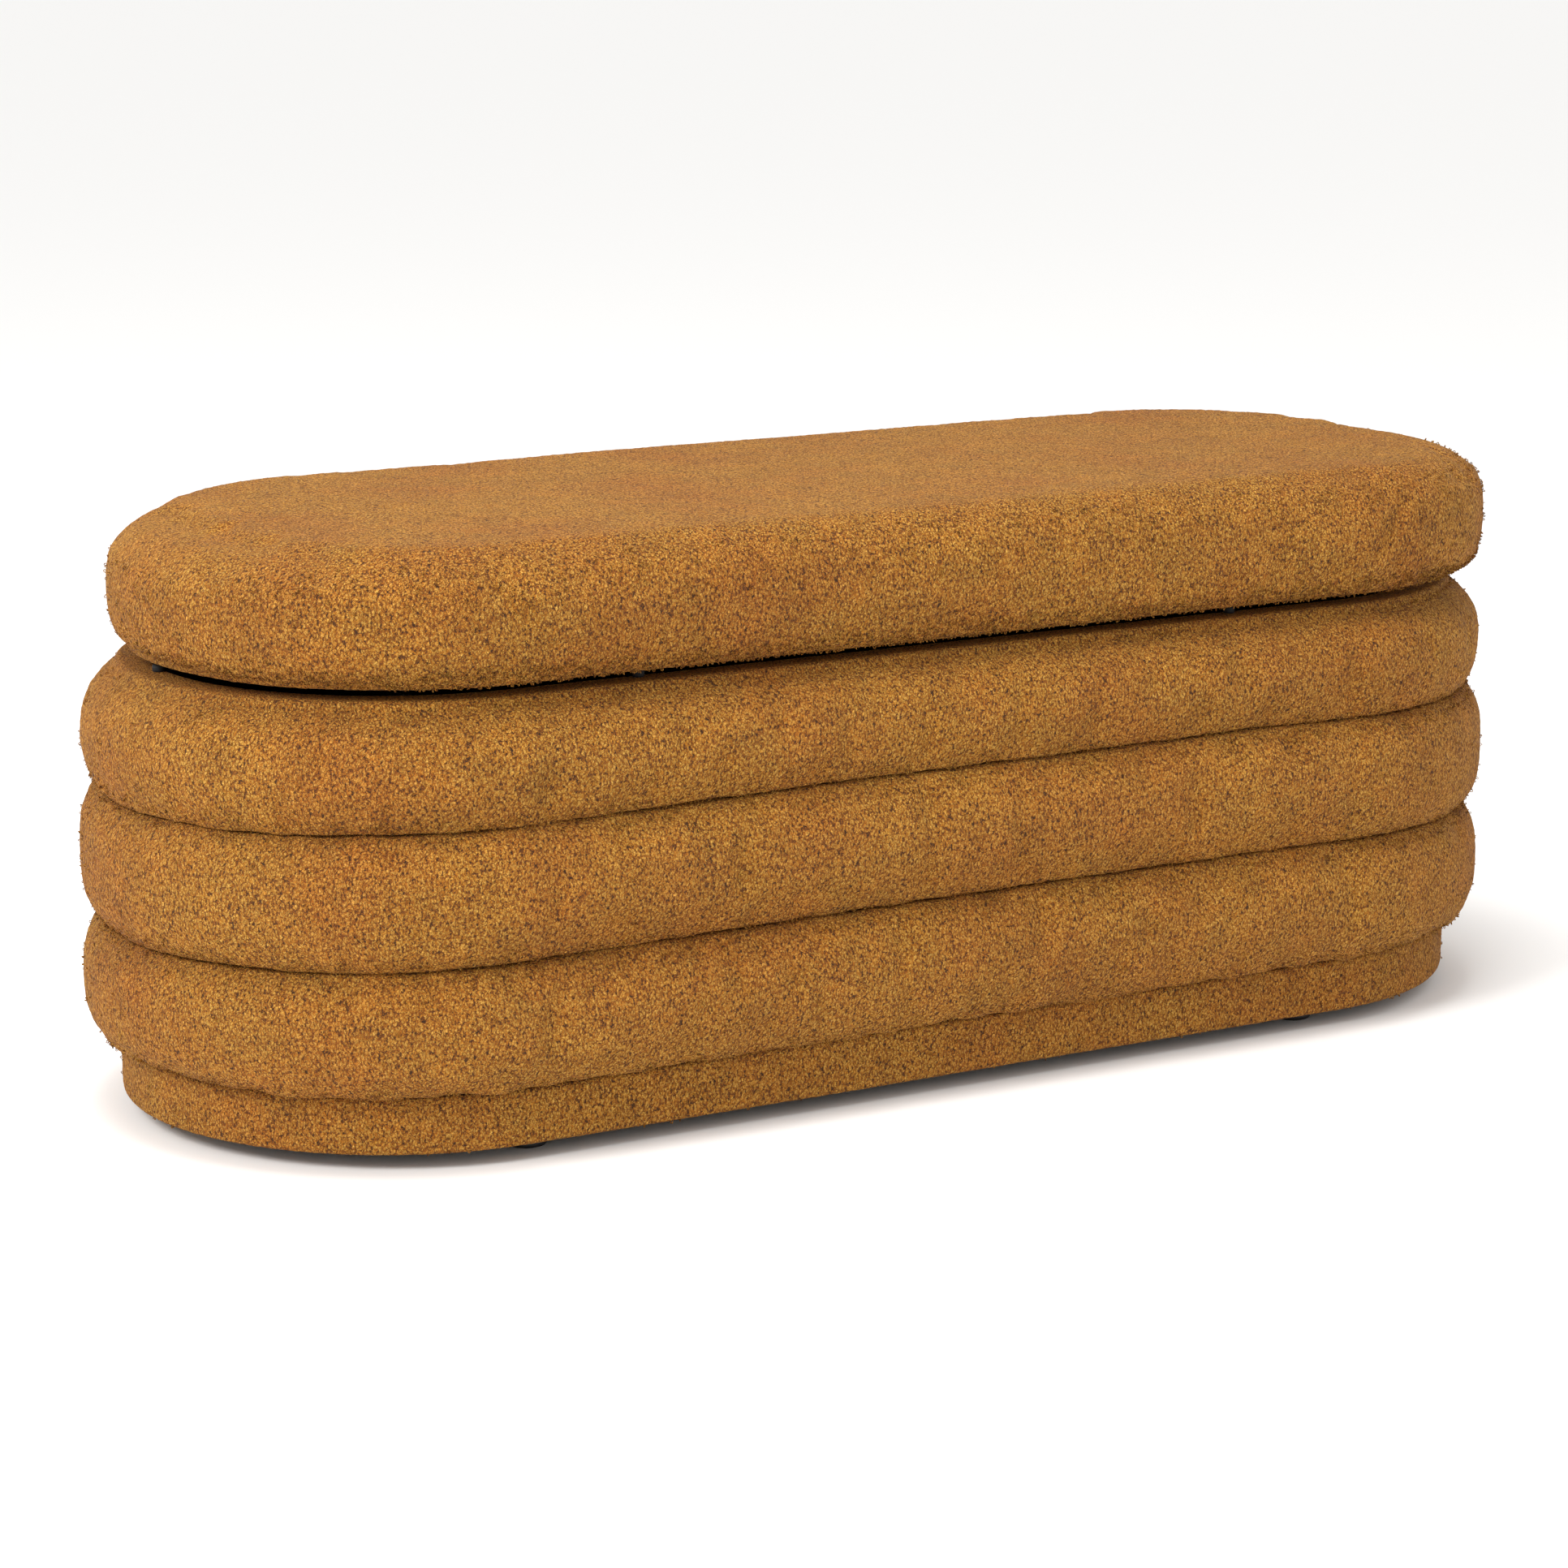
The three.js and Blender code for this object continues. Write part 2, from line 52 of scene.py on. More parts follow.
# what the CAD frame says, in metres
channelNames = ("lower_channel", "middle_channel", "upper_channel")
channelBoxes = [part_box(name + "_cover") for name in channelNames]
plinthLow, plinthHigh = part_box("plinth_cover")
lidLow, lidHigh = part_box("lid_cover")
rimLow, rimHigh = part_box("top_rim")
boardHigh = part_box("lid_board")[1]
tubLow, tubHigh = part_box("box_lining")
endRadius = channelBoxes[2][1].y
straightHalf = channelBoxes[2][1].x - endRadius


# materials

# sRGB hex to linear
def linearColour(hexText):
    channels = [int(hexText[i:i + 2], 16) / 255 for i in (1, 3, 5)]
    return [c / 12.92 if c <= 0.04045 else ((c + 0.055) / 1.055) ** 2.4 for c in channels] + [1.0]


def addNode(tree, kind, links=None, sockets=None, **settings):
    made = tree.nodes.new(kind)
    for name, value in settings.items():
        setattr(made, name, value)
    for name, value in (sockets or {}).items():
        made.inputs[name].default_value = value
    for name, source in (links or {}).items():
        tree.links.new(source, made.inputs[name])
    return made


def newMaterial(name):
    material = bpy.data.materials.new(name)
    material.use_nodes = True
    tree = material.node_tree
    place = addNode(tree, "ShaderNodeTexCoord").outputs["Object"]
    return material, tree, place


# what feeds the shader, and the values set on its own sockets
def finishShader(tree, links, values):
    sockets = tree.nodes["Principled BSDF"].inputs
    for name, source in links.items():
        tree.links.new(source, sockets[name])
    for name, value in values.items():
        sockets[name].default_value = value


# stops are (position, hex colour)
def setRamp(ramp, stops):
    marks = ramp.color_ramp.elements
    while len(marks) < len(stops):
        marks.new(0.5)
    for mark, (position, hexText) in zip(marks, stops):
        mark.position = position
        mark.color = linearColour(hexText)


# one colour, darker at the ramp's start and lighter at its end
def tintRamp(ramp, hexText, darker, lighter):
    base = linearColour(hexText)
    for mark, gain in zip(ramp.color_ramp.elements, (darker, lighter)):
        mark.color = [c * gain for c in base[:3]] + [1.0]


boucleLook = {
    "loopPitch": 1.7 * mm,      # one looped yarn to the next
    "loopStretch": 0.64,        # loops hang, so they are longer than they are wide
    "loopBend": 1.7,            # in loop pitches
    "shortestLoop": 0.86,       # against the tallest
    "threadPitch": 0.8 * mm,
    "fuzz": 0.24,               # threads that stand out of a loop, against its height
    "napPatch": 110 * mm,       # cloudy patches where the loops lean together
    "napStrength": 0.42,
    "unevenDye": 0.12,
    # painted shade between the loops, then the yarn's own colour, then painted highlight on the loop tips
    "shadow": "#381a05",
    "paintedDeepShade": "#86470a",
    "body": "#b97417",
    "paintedTipHighlight": "#f2b954",
    "warmPatch": "#dc9c60",
    "sheen": "#f0c070",
    "bumpHeight": 4.5 * mm,
}


# woven wool-blend boucle: short curled loops, with painted brown shade between them and a painted pale
# highlight on their tips
def makeBoucle():
    look = boucleLook
    material, tree, place = newMaterial("golden_boucle")
    stretched = addNode(tree, "ShaderNodeMapping", {"Vector": place},
                        {"Scale": (1, 1, look["loopStretch"])})
    wander = addNode(tree, "ShaderNodeTexNoise", {"Vector": place},
                     {"Scale": 0.9 / look["loopPitch"], "Detail": 1.0})
    shift = addNode(tree, "ShaderNodeVectorMath", {0: wander.outputs["Color"]},
                    {1: (0.5, 0.5, 0.5)}, operation="SUBTRACT")
    bend = addNode(tree, "ShaderNodeVectorMath", {0: shift.outputs[0]},
                   {"Scale": look["loopBend"] * look["loopPitch"]}, operation="SCALE")
    curled = addNode(tree, "ShaderNodeVectorMath",
                     {0: stretched.outputs[0], 1: bend.outputs[0]}, operation="ADD")
    loops = addNode(tree, "ShaderNodeTexVoronoi", {"Vector": curled.outputs[0]},
                    {"Scale": 1 / look["loopPitch"]})
    threads = addNode(tree, "ShaderNodeTexNoise", {"Vector": curled.outputs[0]},
                      {"Scale": 0.7 / look["threadPitch"], "Detail": 2.0})
    # height of the pile, 0 between the loops and about 1 on their tips
    rise = addNode(tree, "ShaderNodeMapRange", {"Value": loops.outputs["Distance"]},
                   {"From Min": 0.95, "From Max": 0.05})
    stand = addNode(tree, "ShaderNodeSeparateColor", {"Color": loops.outputs["Color"]})
    standing = addNode(tree, "ShaderNodeMapRange", {"Value": stand.outputs[0]},
                       {"To Min": look["shortestLoop"], "To Max": 1.0})
    loopRise = addNode(tree, "ShaderNodeMath", {0: rise.outputs[0], 1: standing.outputs[0]},
                       operation="MULTIPLY")
    fuzz = addNode(tree, "ShaderNodeMapRange", {"Value": threads.outputs["Fac"]},
                   {"From Min": 0.3, "From Max": 0.7, "To Min": -look["fuzz"], "To Max": look["fuzz"]})
    pile = addNode(tree, "ShaderNodeMath", {0: loopRise.outputs[0], 1: fuzz.outputs[0]}, operation="ADD")
    # colour by pile height: painted shade low between the loops, the yarn's own colour on their sides,
    # painted highlight on their tips
    ramp = addNode(tree, "ShaderNodeValToRGB", {"Fac": pile.outputs[0]})
    setRamp(ramp, [(0.02, look["shadow"]), (0.2, look["paintedDeepShade"]), (0.46, look["body"]), (0.92, look["paintedTipHighlight"])])
    # loops that lean together look redder
    clouds = addNode(tree, "ShaderNodeTexNoise", {"Vector": place},
                     {"Scale": 1 / look["napPatch"], "Detail": 3.0, "Roughness": 0.55})
    cloudLevel = addNode(tree, "ShaderNodeMapRange", {"Value": clouds.outputs["Fac"]},
                         {"From Min": 0.42, "From Max": 0.75, "To Max": look["napStrength"]})
    leaning = addNode(tree, "ShaderNodeMix", {"Factor": cloudLevel.outputs[0], 6: ramp.outputs["Color"]},
                      {7: linearColour(look["warmPatch"])}, data_type="RGBA", blend_type="MULTIPLY")
    shade = addNode(tree, "ShaderNodeTexNoise", {"Vector": place},
                    {"Scale": 4 / look["napPatch"], "Detail": 4.0})
    gain = addNode(tree, "ShaderNodeMapRange", {"Value": shade.outputs["Fac"]},
                   {"From Min": 0.3, "From Max": 0.7, "To Min": 1 - look["unevenDye"],
                    "To Max": 1 + look["unevenDye"]})
    tinted = addNode(tree, "ShaderNodeVectorMath",
                     {0: leaning.outputs[2], "Scale": gain.outputs[0]}, operation="SCALE")
    bump = addNode(tree, "ShaderNodeBump", {"Height": pile.outputs[0]},
                   {"Strength": 1.0, "Distance": look["bumpHeight"]})
    finishShader(tree, {"Base Color": tinted.outputs[0], "Normal": bump.outputs[0]},
                 {"Roughness": 0.9, "Specular IOR Level": 0.3, "Sheen Weight": 0.15,
                  "Sheen Roughness": 0.5, "Sheen Tint": linearColour(look["sheen"])})
    return material


plywoodLook = {
    "light": "#cfa873",
    "dark": "#a87c48",
    "core": "#8c6238",
    "veneer": 1.4 * mm,
    "grain": 2.5 * mm,
}


# birch plywood, sawn and sanded: long pale grain on the faces, thin brown plies on the edges
def makePlywood():
    look = plywoodLook
    material, tree, place = newMaterial("birch_plywood")
    along = addNode(tree, "ShaderNodeMapping", {"Vector": place}, {"Scale": (0.06, 1, 1)})
    grain = addNode(tree, "ShaderNodeTexNoise", {"Vector": along.outputs[0]},
                    {"Scale": 1 / look["grain"], "Detail": 5.0, "Distortion": 0.6})
    face = addNode(tree, "ShaderNodeValToRGB", {"Fac": grain.outputs["Fac"]})
    setRamp(face, [(0.32, look["dark"]), (0.62, look["light"])])
    plies = addNode(tree, "ShaderNodeTexWave", {"Vector": place},
                    {"Scale": 0.16 / look["veneer"], "Distortion": 0.6, "Detail": 2.0},
                    bands_direction="Z")
    edge = addNode(tree, "ShaderNodeValToRGB", {"Fac": plies.outputs["Fac"]})
    setRamp(edge, [(0.25, look["core"]), (0.6, look["light"])])
    facing = addNode(tree, "ShaderNodeSeparateXYZ",
                     {"Vector": addNode(tree, "ShaderNodeNewGeometry").outputs["Normal"]})
    flat = addNode(tree, "ShaderNodeMath", {0: facing.outputs["Z"]}, operation="ABSOLUTE")
    colour = addNode(tree, "ShaderNodeMix",
                     {"Factor": flat.outputs[0], 6: edge.outputs["Color"], 7: face.outputs["Color"]},
                     data_type="RGBA")
    bump = addNode(tree, "ShaderNodeBump", {"Height": grain.outputs["Fac"]},
                   {"Strength": 0.25, "Distance": 0.3 * mm})
    finishShader(tree, {"Base Color": colour.outputs[2], "Normal": bump.outputs[0]},
                 {"Roughness": 0.62})
    return material


# spun-bonded polypropylene: a matt, felt-like sheet with a grid of small weld dimples
def makeNonwoven(name, hexText, dimple):
    material, tree, place = newMaterial(name)
    dots = addNode(tree, "ShaderNodeTexVoronoi", {"Vector": place},
                   {"Scale": 1 / dimple, "Randomness": 0.25})
    fibres = addNode(tree, "ShaderNodeTexNoise", {"Vector": place},
                     {"Scale": 0.7 / dimple, "Detail": 6.0, "Roughness": 0.7})
    colour = addNode(tree, "ShaderNodeValToRGB", {"Fac": fibres.outputs["Fac"]})
    tintRamp(colour, hexText, 0.6, 1.5)
    colour.color_ramp.elements[0].position = 0.3
    colour.color_ramp.elements[1].position = 0.7
    pits = addNode(tree, "ShaderNodeBump", {"Height": dots.outputs["Distance"]},
                   {"Strength": 0.5, "Distance": 0.4 * mm})
    mat = addNode(tree, "ShaderNodeBump", {"Height": fibres.outputs["Fac"], "Normal": pits.outputs[0]},
                  {"Strength": 0.4, "Distance": 0.3 * mm})
    finishShader(tree, {"Base Color": colour.outputs["Color"], "Normal": mat.outputs[0]},
                 {"Roughness": 0.9, "Sheen Weight": 0.12})
    return material


# cut polyurethane foam: cream, with open pores that show as small pits darkened by painted shade
def makeFoam():
    material, tree, place = newMaterial("upholstery_foam")
    pores = addNode(tree, "ShaderNodeTexVoronoi", {"Vector": place}, {"Scale": 1 / (1.8 * mm)})
    # painted shade in the pores: darker towards each pore's centre
    colour = addNode(tree, "ShaderNodeValToRGB", {"Fac": pores.outputs["Distance"]})
    setRamp(colour, [(0.0, "#b9a77c"), (0.45, "#e9dfc2")])
    bump = addNode(tree, "ShaderNodeBump", {"Height": pores.outputs["Distance"]},
                   {"Strength": 0.6, "Distance": 0.5 * mm})
    finishShader(tree, {"Base Color": colour.outputs["Color"], "Normal": bump.outputs[0]},
                 {"Roughness": 0.95})
    return material


# zinc-plated mild steel, rolled and stamped: cool grey with faint streaks along the strip
def makeZincSteel():
    material, tree, place = newMaterial("zinc_plated_steel")
    rolled = addNode(tree, "ShaderNodeMapping", {"Vector": place}, {"Scale": (0.08, 1, 1)})
    streaks = addNode(tree, "ShaderNodeTexNoise", {"Vector": rolled.outputs[0]},
                      {"Scale": 1 / (0.8 * mm), "Detail": 4.0})
    spangle = addNode(tree, "ShaderNodeTexNoise", {"Vector": place}, {"Scale": 1 / (9 * mm), "Detail": 2.0})
    colour = addNode(tree, "ShaderNodeValToRGB", {"Fac": spangle.outputs["Fac"]})
    setRamp(colour, [(0.35, "#a9acae"), (0.65, "#c6c5bd")])
    rough = addNode(tree, "ShaderNodeMapRange", {"Value": streaks.outputs["Fac"]},
                    {"To Min": 0.24, "To Max": 0.46})
    finishShader(tree, {"Base Color": colour.outputs["Color"], "Roughness": rough.outputs[0]},
                 {"Metallic": 1.0})
    return material


# injection-moulded plastic or rubber: even colour with the fine spark-eroded grain of its mould
def makeMoulded(name, hexText, roughness, grain):
    material, tree, place = newMaterial(name)
    texture = addNode(tree, "ShaderNodeTexNoise", {"Vector": place}, {"Scale": 1 / grain, "Detail": 3.0})
    colour = addNode(tree, "ShaderNodeValToRGB", {"Fac": texture.outputs["Fac"]})
    tintRamp(colour, hexText, 0.75, 1.3)
    bump = addNode(tree, "ShaderNodeBump", {"Height": texture.outputs["Fac"]},
                   {"Strength": 0.3, "Distance": 0.1 * mm})
    rough = addNode(tree, "ShaderNodeMapRange", {"Value": texture.outputs["Fac"]},
                    {"To Min": roughness - 0.1, "To Max": roughness + 0.1})
    finishShader(tree, {"Base Color": colour.outputs["Color"], "Roughness": rough.outputs[0],
                        "Normal": bump.outputs[0]},
                 {})
    return material


boucle = makeBoucle()
plywood = makePlywood()
nonwoven = makeNonwoven("charcoal_nonwoven", "#2b2927", 1.6 * mm)
foam = makeFoam()
zincSteel = makeZincSteel()
mouldedBlack = makeMoulded("black_polypropylene", "#161616", 0.45, 0.6 * mm)
rubber = makeMoulded("black_rubber", "#1a1a1a", 0.75, 0.4 * mm)
slotMaterials = {
    "boucle": boucle,
    "foam": foam,
    "plywood": plywood,
    "lining": nonwoven,
    "foot_plastic": mouldedBlack,
    "bumper_rubber": rubber,
    "zinc_steel": zincSteel,
}

# every CAD node gets its finish
for row in frame["record"]["subparts"]:
    nodeObject = frame["nodes"][row["node"]]
    nodeObject.data.materials.clear()
    nodeObject.data.materials.append(slotMaterials[row["material_slot"]])
print("materials made")


# oval geometry

# (x of its centre, turn about that, side) of each column round the plan
def ovalColumns(step):
    straightCount = round(2 * straightHalf / step)
    arcCount = round(math.pi * endRadius / step)
    columns = []
    for side in (1, -1):
        for i in range(arcCount):
            columns.append((side * straightHalf, math.pi * i / arcCount - math.pi / 2, side))
        for i in range(straightCount):
            columns.append((side * straightHalf * (1 - 2 * i / straightCount), math.pi / 2, side))
    return columns


def ovalPoints(columns, radius):
    return [(x + side * radius * math.cos(turn), side * radius * math.sin(turn))
            for x, turn, side in columns]


# quads between rings of points, each ring of as many points
def ringFaces(rows, around, rings):
    faces = []
    for row in range(rows):
        a, b = row * around, ((row + 1) % rings) * around
        for i in range(around):
            j = (i + 1) % around
            faces.append((a + i, a + j, b + j, b + i))
    return faces


# faces of a stack of rings, with one face over each end
def cappedRings(rings, around):
    last = (rings - 1) * around
    ends = [tuple(range(around - 1, -1, -1)), tuple(range(last, last + around))]
    return ringFaces(rings - 1, around, rings) + ends


def newPiece(name, points, faces, material):
    mesh = bpy.data.meshes.new(name)
    mesh.from_pydata([tuple(p) for p in points], [], faces)
    mesh.materials.append(material)
    mesh.polygons.foreach_set("use_smooth", [True] * len(mesh.polygons))
    mesh.update()
    piece = bpy.data.objects.new(name, mesh)
    bpy.context.scene.collection.objects.link(piece)
    return piece


# sweeps a profile of (radius, height) round the plan; the profile closes on itself, or starts and
# ends at radius 0, where cleanMesh joins the two sides along the centre line
def ovalSweep(name, profile, columnStep, material):
    columns = ovalColumns(columnStep)
    points = []
    for radius, height in profile:
        points += [(x, y, height) for x, y in ovalPoints(columns, radius)]
    isRing = profile[0][0] > 1e-6
    rows = len(profile) if isRing else len(profile) - 1
    piece = newPiece(name, points, ringFaces(rows, len(columns), len(profile)), material)
    cleanMesh(piece)
    return piece


def cleanMesh(piece):
    work = bmesh.new()
    work.from_mesh(piece.data)
    bmesh.ops.remove_doubles(work, verts=work.verts, dist=0.02 * mm)
    bmesh.ops.dissolve_degenerate(work, edges=work.edges, dist=0.01 * mm)
    bmesh.ops.recalc_face_normals(work, faces=work.faces)
    work.to_mesh(piece.data)
    work.free()
    piece.data.polygons.foreach_set("use_smooth", [True] * len(piece.data.polygons))


# adds points along a run of (radius, height) corners
def densify(corners, step):
    dense = []
    for (r0, z0), (r1, z1) in zip(corners, corners[1:]):
        count = max(1, round(math.hypot(r1 - r0, z1 - z0) / step))
        dense += [(r0 + (r1 - r0) * k / count, z0 + (z1 - z0) * k / count) for k in range(count)]
    return dense + [corners[-1]]


# a quarter of an ellipse, fuller where the power is above 2
def quarter(centre, across, up, startTurn, endTurn, count, power=2.0):
    run = []
    for k in range(count + 1):
        turn = math.radians(startTurn + (endTurn - startTurn) * k / count)
        run.append((centre[0] + across * signedPower(math.cos(turn), 2 / power),
                    centre[1] + up * signedPower(math.sin(turn), 2 / power)))
    return run


def signedPower(value, exponent):
    value = 0.0 if abs(value) < 1e-9 else value
    return math.copysign(abs(value) ** exponent, value)


def getPoints(mesh):
    flat = np.empty(len(mesh.vertices) * 3)
    mesh.vertices.foreach_get("co", flat)
    return flat.reshape(-1, 3)


def getNormals(mesh):
    flat = np.empty(len(mesh.vertices) * 3)
    mesh.vertices.foreach_get("normal", flat)
    return flat.reshape(-1, 3)


def setPoints(mesh, points):
    mesh.vertices.foreach_set("co", points.ravel())
    mesh.update()


# how far each point lies outwards from the centre line of the plan
def planRadius(points):
    overshoot = np.maximum(np.abs(points[:, 0]) - straightHalf, 0)
    return np.hypot(overshoot, points[:, 1])


# smooth noise from -1 to 1
def noiseAt(points, pitch, seed):
    scaled = points / pitch + seed * 17.31
    return np.array([noise.noise(Vector(p)) for p in scaled])


def smoothStep(values, low, high):
    t = np.clip((values - low) / (high - low), 0, 1)
    return t * t * (3 - 2 * t)


# cloth over foam

clothLook = {
    "pressure": 4.0,
    "frames": 16,
    "weight": 0.2,
    "stiffness": 18.0,
    "bending": 2.0,
    "slack": -0.012,            # below 0 the cloth is cut a little too large
}


# cloth blown up by the foam; pinned points are sewn down, and none moves past the limit
def swell(piece, pinned, limit):
    start = getPoints(piece.data)
    group = piece.vertex_groups.new(name="sewn")
    for weight in (0.25, 0.5, 0.75, 1.0):
        chosen = np.flatnonzero(np.round(pinned * 4) / 4 == weight)
        group.add([int(i) for i in chosen], weight, "REPLACE")
    cloth = piece.modifiers.new("cloth", "CLOTH")
    settings = cloth.settings
    settings.vertex_group_mass = "sewn"
    settings.use_pressure = True
    settings.uniform_pressure_force = clothLook["pressure"]
    settings.effector_weights.gravity = 0
    settings.quality = 4
    settings.mass = clothLook["weight"]
    settings.tension_stiffness = clothLook["stiffness"]
    settings.compression_stiffness = clothLook["stiffness"]
    settings.bending_stiffness = clothLook["bending"]
    settings.shrink_min = clothLook["slack"]
    cloth.collision_settings.use_collision = False
    scene = bpy.context.scene
    for step in range(1, clothLook["frames"] + 1):
        scene.frame_set(step)
    graph = bpy.context.evaluated_depsgraph_get()
    swollen = getPoints(piece.evaluated_get(graph).data)
    piece.modifiers.remove(cloth)
    piece.vertex_groups.remove(group)
    scene.frame_set(1)
    move = np.nan_to_num(swollen - start)
    length = np.linalg.norm(move, axis=1, keepdims=True)
    move *= np.minimum(1, limit / np.maximum(length, 1e-9))
    setPoints(piece.data, start + move)


# keeps what the piece's modifiers make of it as its own mesh
def takeShape(piece):
    graph = bpy.context.evaluated_depsgraph_get()
    mesh = bpy.data.meshes.new_from_object(piece.evaluated_get(graph))
    piece.modifiers.clear()
    old = piece.data
    piece.data = mesh
    bpy.data.meshes.remove(old)
    mesh.name = piece.name


def subdivide(piece):
    finer = piece.modifiers.new("finer", "SUBSURF")
    finer.levels = finer.render_levels = 1
    takeShape(piece)


handLook = {
    "unevenness": 0.9 * mm,     # foam and hand stuffing
    "unevenPitch": 150 * mm,
    "seamWander": 1.2 * mm,     # seams don't run dead level
    "seamWanderPitch": 90 * mm,
    "pucker": 1.2 * mm,
    "puckerPitch": 22 * mm,
    "puckerReach": 16 * mm,
    "seamPeak": 0.2,            # where along the bench the seams run highest
    "seamRise": 4.3 * mm,
    "seamFall": (16 * mm, 33 * mm),  # per square metre of distance, left and right of the peak
    "pile": 0.5 * mm,           # loops standing proud
    "pilePitch": 4.2 * mm,
}


# the channels' seams aren't level: they run highest right of the middle and sag to the ends
def seamLine(points):
    fromPeak = points[:, 0] - handLook["seamPeak"]
    fall = np.where(fromPeak < 0, *handLook["seamFall"])
    bottom, top = channelBoxes[0][0].z, channelBoxes[2][1].z
    share = np.clip((points[:, 2] - bottom) / (top - bottom), 0, 1)
    return (handLook["seamRise"] - fall * fromPeak ** 2) * np.sin(math.pi * share)


# unevenness of hand-sewn cloth outside a plan radius; seams are (height, pucker gain)
def handSewn(piece, seams, seed, maskFrom):
    look = handLook
    points = getPoints(piece.data)
    normals = getNormals(piece.data)
    outside = smoothStep(planRadius(points), maskFrom, maskFrom + 10 * mm)
    inPlan = points * [1, 1, 0]
    points[:, 2] += seamLine(points) * outside
    swelling = noiseAt(points, look["unevenPitch"], seed) * look["unevenness"]
    for height, gain in seams:
        near = np.exp(-((points[:, 2] - height) / look["puckerReach"]) ** 2) * outside
        wander = noiseAt(inPlan, look["seamWanderPitch"], height * 100) * look["seamWander"]
        fold = noiseAt(inPlan, look["puckerPitch"], height * 100 + 3)
        swelling += fold * near * look["pucker"] * gain
        points[:, 2] += wander * near
    swelling += noiseAt(points, look["pilePitch"], seed + 5) * look["pile"]
    setPoints(piece.data, points + normals * (swelling * outside)[:, None])


def declareCushion(piece, body, fill, *nodes):
    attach(piece, body)
    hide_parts(*nodes)
    print("made", piece.name, len(piece.data.polygons))


clothStep = 6 * mm
wallRadius = rimHigh.y + 0.3 * mm

channelLook = {
    "seamDepth": 18 * mm,       # from the crown in to a seam
    "lowestSeamDepth": 25 * mm,
    "power": 2.4,               # fullness of the bulge
    "shoulder": 52 * mm,        # how far the top channel rolls in over the rim
    "slack": 3 * mm,            # the pads start this much smaller and swell
    "topInset": 3 * mm,         # the top channel is pulled in by its turned-over edge
    "topDip": 2.4 * mm,         # its cloth lies this much lower away from the hinges
    "turnover": 19 * mm,        # how far that cloth reaches in over the rim
    "turnoverThickness": 1.3 * mm,
    "bottomPucker": 2.2,
    "faceSteps": 24,
    "shoulderSteps": 14,
}


def channelFace(low, high, lowerSeam, upperSeam, crown, count):
    run = []
    for k in range(count + 1):
        along = -math.cos(math.pi * k / count)
        fullness = (1 - abs(along) ** channelLook["power"]) ** (1 / channelLook["power"])
        seam = lowerSeam if along < 0 else upperSeam
        depth = (seam + crown - endRadius) * (1 - fullness)
        run.append((crown - depth, (low + high) / 2 + along * (high - low) / 2))
    return run


# lets the turned-over cloth lie lower away from the hinges, but never in the rim board
def dipTurnover(piece, high):
    points = getPoints(piece.data)
    radius = planRadius(points)
    awayFromHinges = 1 - smoothStep(points[:, 1], 130 * mm, 185 * mm)
    nearTop = smoothStep(points[:, 2], high - 40 * mm, high - 3.6 * mm)
    points[:, 2] -= channelLook["topDip"] * awayFromHinges * nearTop
    outerSkin = (radius > wallRadius + 0.6 * mm) | (getNormals(piece.data)[:, 2] > 0.3)
    outerSkin &= points[:, 2] > high - 14 * mm
    restsAt = rimHigh.z + 1.6 * mm - 2 * np.maximum(radius - wallRadius - 1.5 * mm, 0)
    points[:, 2] = np.where(outerSkin, np.maximum(points[:, 2], restsAt), points[:, 2])
    setPoints(piece.data, points)


def makeChannel(level):
    look = channelLook
    name = channelNames[level]
    low, high = channelBoxes[level][0].z, channelBoxes[level][1].z
    isTop = level == 2
    crown = endRadius - look["slack"] - (look["topInset"] if isTop else 0)
    lowerSeam = look["lowestSeamDepth"] if level == 0 else look["seamDepth"]
    face = channelFace(low, high, lowerSeam, look["seamDepth"], crown, look["faceSteps"])
    if isTop:
        across = look["shoulder"] - look["slack"]
        widest = look["faceSteps"] // 2
        centre = (crown - across, face[widest][1])
        shoulder = quarter(centre, across, high - centre[1], 0, 90, look["shoulderSteps"])
        face = face[:widest + 1] + shoulder[1:]
        lip = rimHigh.y - look["turnover"]
        under = high - look["turnoverThickness"]
        corners = [(lip, high), (lip, under), (wallRadius, under - 0.1 * mm), (wallRadius, low)]
    else:
        corners = [(wallRadius, high), (wallRadius, low)]
    closing = densify([face[-1]] + corners + [face[0]], 8 * mm)[1:-1]
    piece = ovalSweep(name + "_pad", face + closing, clothStep, boucle)
    points = getPoints(piece.data)
    sewn = 1 - smoothStep(planRadius(points), endRadius - 20 * mm, endRadius - 12 * mm)
    if isTop:
        sewn = np.maximum(sewn, smoothStep(points[:, 2], high - 4 * mm, high - 1 * mm))
    swell(piece, sewn, look["slack"] + 2 * mm)
    subdivide(piece)
    seams = [(low, look["bottomPucker"] if level == 0 else 1.0)]
    if isTop:
        dipTurnover(piece, high)
    else:
        seams.append((high, 1.0))
    handSewn(piece, seams, level + 1, wallRadius + 3 * mm)
    declareCushion(piece, "carcass", 0.9, name + "_cover", name + "_foam")


plinthLook = {
    "padding": 3 * mm,          # stands proud of the CAD band
    "turnedUnder": 12 * mm,     # cloth stapled under the walls
    "clothThickness": 1.7 * mm,
    "lowerEdge": 4 * mm,
    "pucker": 1.5,
}


def makePlinthBand():
    look = plinthLook
    low, high = plinthLow.z, plinthHigh.z
    outer = plinthHigh.y + look["padding"]
    lip = rimHigh.y - look["turnedUnder"]
    turned = low + look["clothThickness"]
    edge = look["lowerEdge"]
    corners = [(lip, low), (outer - edge, low), (outer - edge / 4, low + edge / 4), (outer, low + edge),
               (outer, high)]
    closing = [(wallRadius, high), (wallRadius, turned), (lip, turned)]
    piece = ovalSweep("plinth_band", densify(corners, clothStep) + closing, clothStep, boucle)
    subdivide(piece)
    handSewn(piece, [(high, look["pucker"])], 7, wallRadius)
    declareCushion(piece, "carcass", 0.95, "plinth_cover", "plinth_padding")


